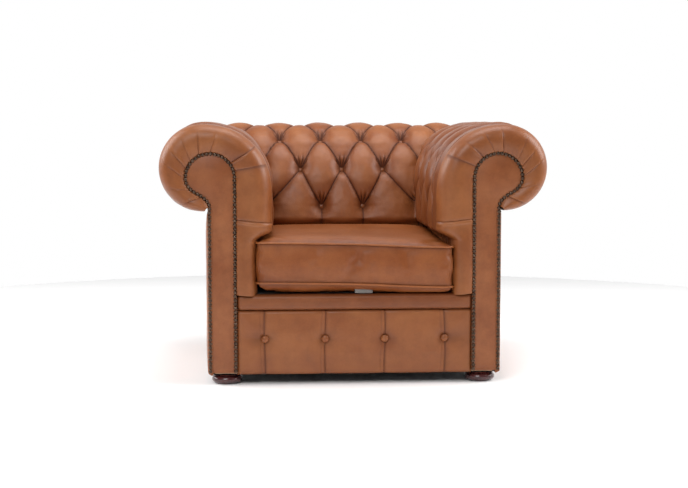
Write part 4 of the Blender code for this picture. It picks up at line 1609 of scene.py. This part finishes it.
# ---- Seat cushion ----
@dataclass
class SeatCushion:
    """Loose boxed cushion: leather blown up by a cloth simulation between its piped seams."""

    low: Vector
    high: Vector
    bottom_seam: float
    top_seam: float
    rear: float
    corner: float = 0.017
    cell: float = 0.0115
    crown: float = 0.007
    edge_puff: float = 0.009
    piping: float = 0.0027
    frames: int = 20
    sag: float = 0.010
    lift: float = 0.003
    rim_width: float = 0.0012
    tight: float = 0.0012
    give: float = 0.0042
    above_deck: float = 0.0008
    side_room: float = 0.004
    front_room: float = 0.006
    rear_room: float = 0.003
    seam_radius: float = 0.0016
    zip_stand: float = 0.0034
    zip_half: float = 0.011
    label_half: float = 0.0004
    label_inset: float = 0.020
    label_drop: float = 0.0155

    def settled(self, points: np.ndarray) -> np.ndarray:
        """Lets the front right corner hang a little lower than the rest.

        Args:
            points: Positions, one row each.

        Returns:
            The settled positions.
        """
        lower = smoothstep(-0.05, self.high.x, points[:, 0]) * smoothstep(0.15, -0.30, points[:, 1])
        higher = smoothstep(0.0, self.low.x, points[:, 0]) * smoothstep(0.15, -0.30, points[:, 1])
        moved = points.copy()
        moved[:, 2] += self.lift * higher - self.sag * lower
        return moved

    def blank(self) -> bpy.types.Mesh:
        """The cut cover before filling: a box with round corners, gridded, its seams its two rims.

        Returns:
            The mesh.
        """
        bm = bmesh.new()
        size = Vector((self.high.x - self.low.x, self.rear - self.low.y, self.top_seam - self.bottom_seam))
        middle = Vector(((self.high.x + self.low.x) / 2, (self.rear + self.low.y) / 2,
                         (self.top_seam + self.bottom_seam) / 2))
        bmesh.ops.create_cube(bm, size=1.0)
        bmesh.ops.scale(bm, vec=size, verts=bm.verts)
        bmesh.ops.translate(bm, vec=middle, verts=bm.verts)
        uprights = [e for e in bm.edges if abs(e.verts[0].co.z - e.verts[1].co.z) > 0.01]
        bmesh.ops.bevel(bm, geom=uprights, offset=self.corner, segments=5, profile=0.5, affect="EDGES",
                        material=-1)
        for normal, start, end in zip(Matrix.Identity(3), (self.low.x, self.low.y, self.bottom_seam),
                                      (self.high.x, self.rear, self.top_seam)):
            count = round((end - start) / self.cell)
            for i in range(1, count):
                bmesh.ops.bisect_plane(bm, geom=whole(bm), dist=0.0006, plane_no=normal,
                                       plane_co=normal * (start + (end - start) * i / count))
        bmesh.ops.triangulate(bm, faces=[f for f in bm.faces if len(f.verts) > 4])
        return mesh_of(bm, "cushion_blank")

    def crowned(self, points: np.ndarray) -> np.ndarray:
        """Raises the top and drops the underside to the cushion's resting shape.

        Args:
            points: Positions, one row each.

        Returns:
            The raised positions.
        """
        half_x = (self.high.x - self.low.x) / 2
        half_y = (self.rear - self.low.y) / 2
        mid_y = (self.rear + self.low.y) / 2
        in_x = 1.0 - np.abs(points[:, 0] / half_x)
        in_y = 1.0 - np.abs((points[:, 1] - mid_y) / half_y)
        bowl = (1 - (1 - np.clip(in_x, 0, 1)) ** 3.2) * (1 - (1 - np.clip(in_y, 0, 1)) ** 3.2)
        edge = np.minimum(in_x * half_x, in_y * half_y)
        puff = 1.0 - bell(np.clip(edge, 0.0, 1.0), 0.015, 1.0)
        puff = puff * (1.0 - 0.4 * smoothstep(0.05, 0.16, edge))
        top = points[:, 2] > self.top_seam - 1e-5
        under = points[:, 2] < self.bottom_seam + 1e-5
        moved = points.copy()
        moved[top, 2] += (self.crown * bowl + self.edge_puff * puff)[top]
        fall = self.bottom_seam - self.low.z - 0.003
        moved[under, 2] -= (fall * (1.0 - bell(np.clip(edge, 0, 1), 0.014, 1.0)))[under]
        return moved

    def build(self, look: Wardrobe) -> None:
        """Builds the cover, its piping, seams, zip and label.

        Args:
            look: The chair's materials.
        """
        mesh = self.blank()
        flat = coordinates(mesh)
        start = self.settled(self.crowned(flat))
        set_coordinates(mesh, start)
        cover = finish_object("seat_cushion_leather", mesh, look.leather_cushion)
        above, below = np.abs(flat[:, 2] - self.top_seam), np.abs(flat[:, 2] - self.bottom_seam)
        at_top, at_seam = above < 1e-5, np.minimum(above, below) < 1e-5
        rim = self.on_rim(flat)
        from_rim = self.rim_distance(flat)
        self.inflate(cover, np.nonzero(at_seam & rim)[0])
        from_seam = np.where(rim, np.minimum(above, below), from_rim)
        limit = self.tight + self.give * smoothstep(0.0, 0.05, from_seam)
        moved = self.capped(start, coordinates(cover.data), limit)
        set_coordinates(cover.data, moved)
        near = np.where(at_seam, from_rim, np.where(rim, np.minimum(above, below), 1.0))
        # Painted shade within about a centimetre of the seams.
        store_mask(cover.data, "crease_shade", 0.55 * bell(near, 0.010))
        # The top is paler than the boxing: rubbing wear on the seat and painted light on the face turned up to
        # the lamps.
        store_mask(cover.data, "rub_and_highlight", np.where(at_top, smoothstep(0.0, 0.03, from_rim) * 0.85, 0.25))
        self.smooth_out(cover)
        install(cover, "cushion", "tan_leather", "cushion_cover", "cushion_core", fill=0.75)
        self.build_piping(look)
        self.build_corner_seams(flat, moved, look)
        self.build_zip(look)
        self.build_label(look)

    def outline(self, out: float, count: int = 20) -> list[tuple[float, float]]:
        """Plan outline of the seams, from the right rear corner round by the left.

        Args:
            out: How far outwards it is moved.
            count: Segments along each straight side.

        Returns:
            The outline's points.
        """
        radius = self.corner + out
        half_x = self.high.x + out
        front, rear = self.low.y - out, self.rear + out
        right, left, near, far = half_x - radius, -half_x + radius, front + radius, rear - radius
        corners = (((right, far), (left, rear)), ((left, far), (-half_x, near)),
                   ((left, near), (right, front)), ((right, near), (half_x, far)))
        points = []
        for quarter, (centre, following) in enumerate(corners):
            points += arc(*centre, radius, 90.0 * quarter, 90.0 * (quarter + 1), 9)
            last = points[-1]
            for i in range(1, count):
                t = i / count
                points.append((last[0] + (following[0] - last[0]) * t, last[1] + (following[1] - last[1]) * t))
        return points

    def rim_distance(self, points: np.ndarray) -> np.ndarray:
        """Plan distance from each point in to the seam line.

        Args:
            points: Positions, one row each.

        Returns:
            The distances, 0 outside the seam line.
        """
        mid_y = (self.rear + self.low.y) / 2
        half_x, half_y = self.high.x, (self.rear - self.low.y) / 2
        qx = np.abs(points[:, 0]) - (half_x - self.corner)
        qy = np.abs(points[:, 1] - mid_y) - (half_y - self.corner)
        outside = np.hypot(np.maximum(qx, 0), np.maximum(qy, 0)) + np.minimum(np.maximum(qx, qy), 0)
        return np.maximum(self.corner - outside, 0.0)

    def on_rim(self, points: np.ndarray) -> np.ndarray:
        """Whether each point lies on the box's upright sides."""
        return self.rim_distance(points) < self.rim_width

    def inflate(self, cover: bpy.types.Object, pinned: np.ndarray) -> None:
        """Fills the cover: cloth under pressure, held along its two seams.

        Args:
            cover: The cushion's cover.
            pinned: Numbers of the vertices on the seams.
        """
        group = cover.vertex_groups.new(name="seams")
        group.add([int(i) for i in pinned], 1.0, "REPLACE")
        cloth = cover.modifiers.new("filling", "CLOTH")
        for key, value in (("quality", 6), ("mass", 0.35), ("tension_stiffness", 18.0),
                           ("compression_stiffness", 18.0), ("shear_stiffness", 8.0),
                           ("bending_stiffness", 0.6), ("use_pressure", True),
                           ("uniform_pressure_force", 4.0), ("shrink_min", -0.045),
                           ("vertex_group_mass", group.name)):
            setattr(cloth.settings, key, value)
        cloth.settings.effector_weights.gravity = 0.0
        cloth.point_cache.frame_start = 1
        cloth.point_cache.frame_end = self.frames
        scene = bpy.context.scene
        for number in range(1, self.frames + 1):
            scene.frame_set(number)
        evaluated = cover.evaluated_get(bpy.context.evaluated_depsgraph_get())
        shaped = np.empty(len(evaluated.data.vertices) * 3)
        evaluated.data.vertices.foreach_get("co", shaped)
        cover.modifiers.remove(cloth)
        cover.vertex_groups.remove(group)
        set_coordinates(cover.data, shaped.reshape(-1, 3))
        scene.frame_set(1)

    def capped(self, start: np.ndarray, moved: np.ndarray, limit: np.ndarray) -> np.ndarray:
        """Limits how far a point moved, and keeps the cushion off the platform, arms and back.

        Args:
            start: Positions before filling.
            moved: Positions after filling.
            limit: How far each point may move.

        Returns:
            The limited positions.
        """
        step = moved - start
        size = np.linalg.norm(step, axis=1)
        shrink = np.minimum(1.0, limit / np.maximum(size, 1e-9))
        kept = start + step * shrink[:, None]
        kept[:, 2] = np.maximum(kept[:, 2], self.low.z + self.above_deck)
        kept[:, 0] = np.clip(kept[:, 0], self.low.x - self.side_room, self.high.x + self.side_room)
        kept[:, 1] = np.clip(kept[:, 1], self.low.y - self.front_room, self.rear + self.rear_room)
        return kept

    @staticmethod
    def smooth_out(cover: bpy.types.Object) -> None:
        """Two subdivisions, live, the same in the view and in the render."""
        finer = cover.modifiers.new("finer", "SUBSURF")
        finer.levels = 2
        finer.render_levels = 2

    def build_piping(self, look: Wardrobe) -> None:
        """Piping cords along both seams.

        Args:
            look: The chair's materials.
        """
        for word, height in (("top", self.top_seam), ("bottom", self.bottom_seam)):
            points = self.settled(np.array([(x, y, height + 0.0006 * math.sin(9.0 * x + 7.0 * y))
                                            for x, y in self.outline(self.piping * 0.7)]))
            mesh = tube(f"cushion_piping_{word}_cord", points, self.piping, closed=True)
            # The piping is paler all round: rubbed edges and a painted highlight.
            store_mask(mesh, "rub_and_highlight", np.full(len(mesh.vertices), 0.9))
            made = finish_object(f"cushion_piping_{word}_cord", mesh, look.leather_cushion)
            install(made, "cushion", "piping_leather", f"cushion_piping_{word}")

    def build_corner_seams(self, flat: np.ndarray, moved: np.ndarray, look: Wardrobe) -> None:
        """Upright seams near the four corners of the boxing, as raised stitched lines.

        Args:
            flat: Positions before the cover was filled.
            moved: Positions after the cover was filled.
            look: The chair's materials.
        """
        mid_y = (self.rear + self.low.y) / 2
        spots = {"front_left": (-1, self.low.y), "front_right": (1, self.low.y),
                 "rear_left": (-1, self.rear), "rear_right": (1, self.rear)}
        rim = self.on_rim(flat)
        levels = np.linspace(self.bottom_seam + 0.004, self.top_seam - 0.004, 14)
        for word, (side, y) in spots.items():
            diagonal = self.corner * (1 - math.cos(math.radians(45)))
            want = np.array([side * (self.high.x - diagonal), y + (diagonal if y < mid_y else -diagonal)])
            path = []
            for level in levels:
                gap = np.hypot(np.hypot(flat[:, 0] - want[0], flat[:, 1] - want[1]), flat[:, 2] - level)
                gap = np.where(rim, gap, 9.0)
                near = np.argsort(gap)[:3]
                share = 1.0 / np.maximum(gap[near], 1e-4)
                path.append((moved[near] * share[:, None]).sum(axis=0) / share.sum())
            points = np.array(path)
            points[1:-1] = (points[:-2] + points[1:-1] + points[2:]) / 3
            out = np.array([side, -1.0 if y < mid_y else 1.0, 0.0]) / math.sqrt(2)
            mesh = tube(f"cushion_seam_{word}", [tuple(p + out * 0.0003) for p in points], self.seam_radius,
                        closed=False)
            made = finish_object(f"cushion_seam_{word}", mesh, look.leather_trim)
            install(made, "cushion", "piping_leather")

    def build_zip(self, look: Wardrobe) -> None:
        """Zip tape with its teeth in the rear boxing.

        Args:
            look: The chair's materials.
        """
        low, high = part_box("cushion_zip")
        middle = (low[2] + high[2]) / 2
        face = self.rear + self.zip_stand
        tape = rounded_box("cushion_zip_tape", (low[0], face - 0.0016, middle - self.zip_half),
                           (high[0], face, middle + self.zip_half), 0.0005, 2)
        install(finish_object("cushion_zip_tape", tape, look.tape), "cushion", "zip_tape", "cushion_zip")
        bm = bmesh.new()
        pitch, end, offset = 0.0032, 0.005, 0.0011
        for number in range(int((high[0] - low[0] - 2 * end) / pitch)):
            x = low[0] + end + number * pitch
            lean = offset if number % 2 else -offset
            bmesh.ops.create_cube(bm, size=1.0, matrix=Matrix.Translation((x, face + 0.0002, middle + lean))
                                  @ Matrix.Diagonal((0.0017, 0.0012, 0.0034, 1.0)))
        mesh = mesh_of(bm, "cushion_zip_teeth", smooth=False)
        install(finish_object("cushion_zip_teeth", mesh, look.zip_metal), "cushion", "zip_metal")

    def build_label(self, look: Wardrobe) -> None:
        """The blank label sewn under the front edge.

        Args:
            look: The chair's materials.
        """
        low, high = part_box("cushion_tab")
        sewn_y, sewn_z = self.low.y + self.label_inset, self.bottom_seam - self.label_drop
        label = rounded_box("cushion_label", (low[0], sewn_y - self.label_half, low[2] + 0.0006),
                            (high[0], sewn_y + self.label_half, sewn_z), 0.0003, 2)
        install(finish_object("cushion_label", label, look.label), "cushion", "pale_tape", "cushion_tab")


# ---- Feet, frame and suspension ----
@dataclass
class BunFoot:
    """Turned and polished bun foot with its screw stud."""

    node: str
    body_top: float = 0.0264
    stud_radius: float = 0.0040
    belly_z: float = 0.0122
    belly_half: float = 0.0125

    def build(self, look: Wardrobe) -> None:
        """Turns the foot on the CAD foot's centre.

        Args:
            look: The chair's materials.
        """
        low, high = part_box(self.node)
        centre = Vector(((low[0] + high[0]) / 2, (low[1] + high[1]) / 2, 0.0))
        radius = (high[0] - low[0]) / 2
        body, stud = self.body_top, self.stud_radius
        profile = [(0.0, high[2]), (0.0032, high[2]), (stud, high[2] - 0.001), (stud, body)]
        profile += [(radius * 0.80, body), (radius * 0.83, body - 0.0008), (radius * 0.84, body - 0.0022)]
        profile += [(radius * 0.88, body - 0.0030)]
        for degrees in range(62, -61, -12):
            angle = math.radians(degrees)
            profile.append((radius * (0.56 + 0.44 * math.cos(angle)),
                            self.belly_z + self.belly_half * math.sin(angle)))
        profile += [(radius * 0.72, 0.0004), (radius * 0.70, 0.0), (0.0, 0.0)]
        name = f"{self.node}_polished"
        mesh = turned(name, profile, Matrix.Translation(centre), 48)
        made = finish_object(name, mesh, look.mahogany)
        made.data.set_sharp_from_angle(angle=SHARP_EDGE)
        install(made, "root", "mahogany_feet", self.node)


def dress_frame(look: Wardrobe) -> None:
    """Gives each carried-over CAD node its own surface.

    Args:
        look: The chair's materials.
    """
    for name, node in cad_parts.items():
        low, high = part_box(name)
        size = Vector(high) - Vector(low)
        if name.startswith("seat_spring"):
            finish = look.steel
        elif name in ("seat_deck", "dust_cover"):
            finish = look.cloth
        elif name == "zip_slider":
            finish = look.zip_metal
        elif any(word in name for word in ("rail", "post", "block")):
            longest = max(range(3), key=lambda axis: size[axis])
            finish = look.beech[longest]
        else:
            continue
        for place in node.material_slots:
            place.material = finish


# ---- Studio ----
@dataclass
class Studio:
    """Pale floor, soft lights and the camera."""

    lens: float = 73.0
    distance: float = 3.735
    azimuth: float = -4.2
    height: float = 0.71
    pitch: float = -5.0
    turn: float = 0.48
    front: float = -0.44
    ambient: float = 0.19
    rear_glow: float = 0.74
    floor_radius: float = 2.35

    def build(self) -> None:
        """Sets up the whole studio."""
        self.build_floor()
        self.build_lights()
        self.build_camera()

    def build_floor(self) -> None:
        """A round matt floor."""
        bm = bmesh.new()
        bmesh.ops.create_circle(bm, cap_ends=True, segments=128, radius=self.floor_radius)
        material = bpy.data.materials.new("studio_floor")
        material.use_nodes = True
        sockets = material.node_tree.nodes["Principled BSDF"].inputs
        for key, value in (("Base Color", (0.97, 0.97, 0.97, 1)), ("Roughness", 0.9),
                           ("Specular IOR Level", 0.1)):
            sockets[key].default_value = value
        floor = finish_object("studio_floor", mesh_of(bm, "studio_floor", smooth=False), material)

    def area(self, name: str, place: Point, aim: Point, size: float, power: float) -> None:
        """One square soft light.

        Args:
            name: The light's name.
            place: Where it hangs.
            aim: The point it faces.
            size: Length of its side.
            power: Its power in watts.
        """
        data = bpy.data.lights.new(name, "AREA")
        data.size = size
        data.energy = power
        lamp = bpy.data.objects.new(name, data)
        lamp.location = place
        lamp.rotation_euler = (Vector(aim) - Vector(place)).to_track_quat("-Z", "Y").to_euler()
        bpy.context.scene.collection.objects.link(lamp)

    def build_lights(self) -> None:
        """A white surround, a softbox in front, one overhead and a rim light on each side."""
        world = bpy.data.worlds.new("studio_white")
        bpy.context.scene.world = world
        world.use_nodes = True
        nodes = NodeSheet(world.node_tree)
        background = world.node_tree.nodes["Background"]
        background.inputs["Color"].default_value = (1.0, 1.0, 1.0, 1)
        seen = nodes.put("ShaderNodeLightPath", {}, "Is Camera Ray")
        around = nodes.put("ShaderNodeTexCoord", {}, "Generated")
        split = world.node_tree.nodes.new("ShaderNodeSeparateXYZ")
        world.node_tree.links.new(around, split.inputs[0])
        level = nodes.ramp(split.outputs["Z"], 0.85, 0.25)
        rear = nodes.times(nodes.ramp(split.outputs["Y"], -0.5, 0.6), level)
        glow = nodes.math("ADD", nodes.times(rear, self.rear_glow), self.ambient)
        world.node_tree.links.new(nodes.math("MAXIMUM", seen, glow), background.inputs["Strength"])
        self.area("front_softbox", (-1.0, -3.2, 2.6), (0.0, 0.0, 0.4), 1.6, 61.0)
        self.area("top_softbox", (0.2, 0.0, 3.0), (0.0, 0.0, 0.3), 1.8, 44.0)
        self.area("left_rim", (-2.4, 0.2, 1.8), (-0.4, -0.2, 0.55), 1.8, 58.0)
        self.area("right_rim", (2.4, -0.5, 1.8), (0.45, -0.3, 0.6), 1.8, 68.0)

    def build_camera(self) -> None:
        """The camera, a little left of the middle and just above the rolls."""
        scene = bpy.context.scene
        data = bpy.data.cameras.new("camera")
        data.lens = self.lens
        data.sensor_width = 36.0
        camera = bpy.data.objects.new("camera", data)
        angle = math.radians(self.azimuth)
        reach = self.distance
        camera.location = (reach * math.sin(angle), self.front - reach * math.cos(angle), self.height)
        camera.rotation_euler = (math.radians(90.0 + self.pitch), 0.0, angle + math.radians(self.turn))
        scene.collection.objects.link(camera)
        scene.camera = camera
        scene.view_settings.view_transform = "Standard"
        scene.view_settings.look = "None"


# ---- The whole chair ----
def write_sizes() -> None:
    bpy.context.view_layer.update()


def main() -> None:
    """Builds every sub-assembly in order."""
    logging.basicConfig(level=logging.INFO, format="%(name)s: %(message)s")
    look = Wardrobe()
    Studio().build()
    arm_low, arm_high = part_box("arm_cover_right")
    back_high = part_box("back_cover")[1]
    panel_low, panel_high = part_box("arm_outside_panel_right")
    nail_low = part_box("nail_trim_right")[0]
    facing_low, facing_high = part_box("arm_facing_right")
    border_low, border_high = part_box("arm_front_border_right")
    cushion_low, cushion_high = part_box("cushion_cover")
    section = Section(half_width=arm_high[0], top=arm_high[2], bottom=arm_low[2],
                      underside=panel_high[2] + UNDERSIDE_GAP, bulge=arm_low[0], rear=back_high[1],
                      cushion_top=cushion_high[2])
    covers = TuftedCovers(section, front=border_high[1] - SEAM_LAP)
    for part in Part:
        covers.build_cover(part, look)
    covers.build_buttons(look)
    facings = Facings(section, board_inner=nail_low[0] + BEAD_RADIUS,
                      board_outer=panel_low[0] - PANEL_GAP - LEATHER_EDGE, foot=facing_low[2] + NAIL_FOOT,
                      front=facing_low[1], back=facing_high[1], nose=border_low[1], border_back=border_high[1])
    for side in Side:
        facings.build_facing(side, look)
        facings.build_border(side, look)
        facings.build_nails(side, look)
    build_panels(look)
    seams = [sum(corner[2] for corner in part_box(f"cushion_piping_{word}")) / 2 for word in ("bottom", "top")]
    widen = Vector((CUSHION_FULLNESS, 0.0, 0.0))
    cushion = SeatCushion(low=Vector(cushion_low) - widen, high=Vector(cushion_high) + widen,
                          bottom_seam=seams[0], top_seam=seams[1], rear=cushion_high[1] - SEAM_LAP)
    cushion.build(look)
    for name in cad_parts:
        if name.startswith("foot"):
            BunFoot(name).build(look)
    dress_frame(look)
    write_sizes()


if __name__ == "__main__":
    main()
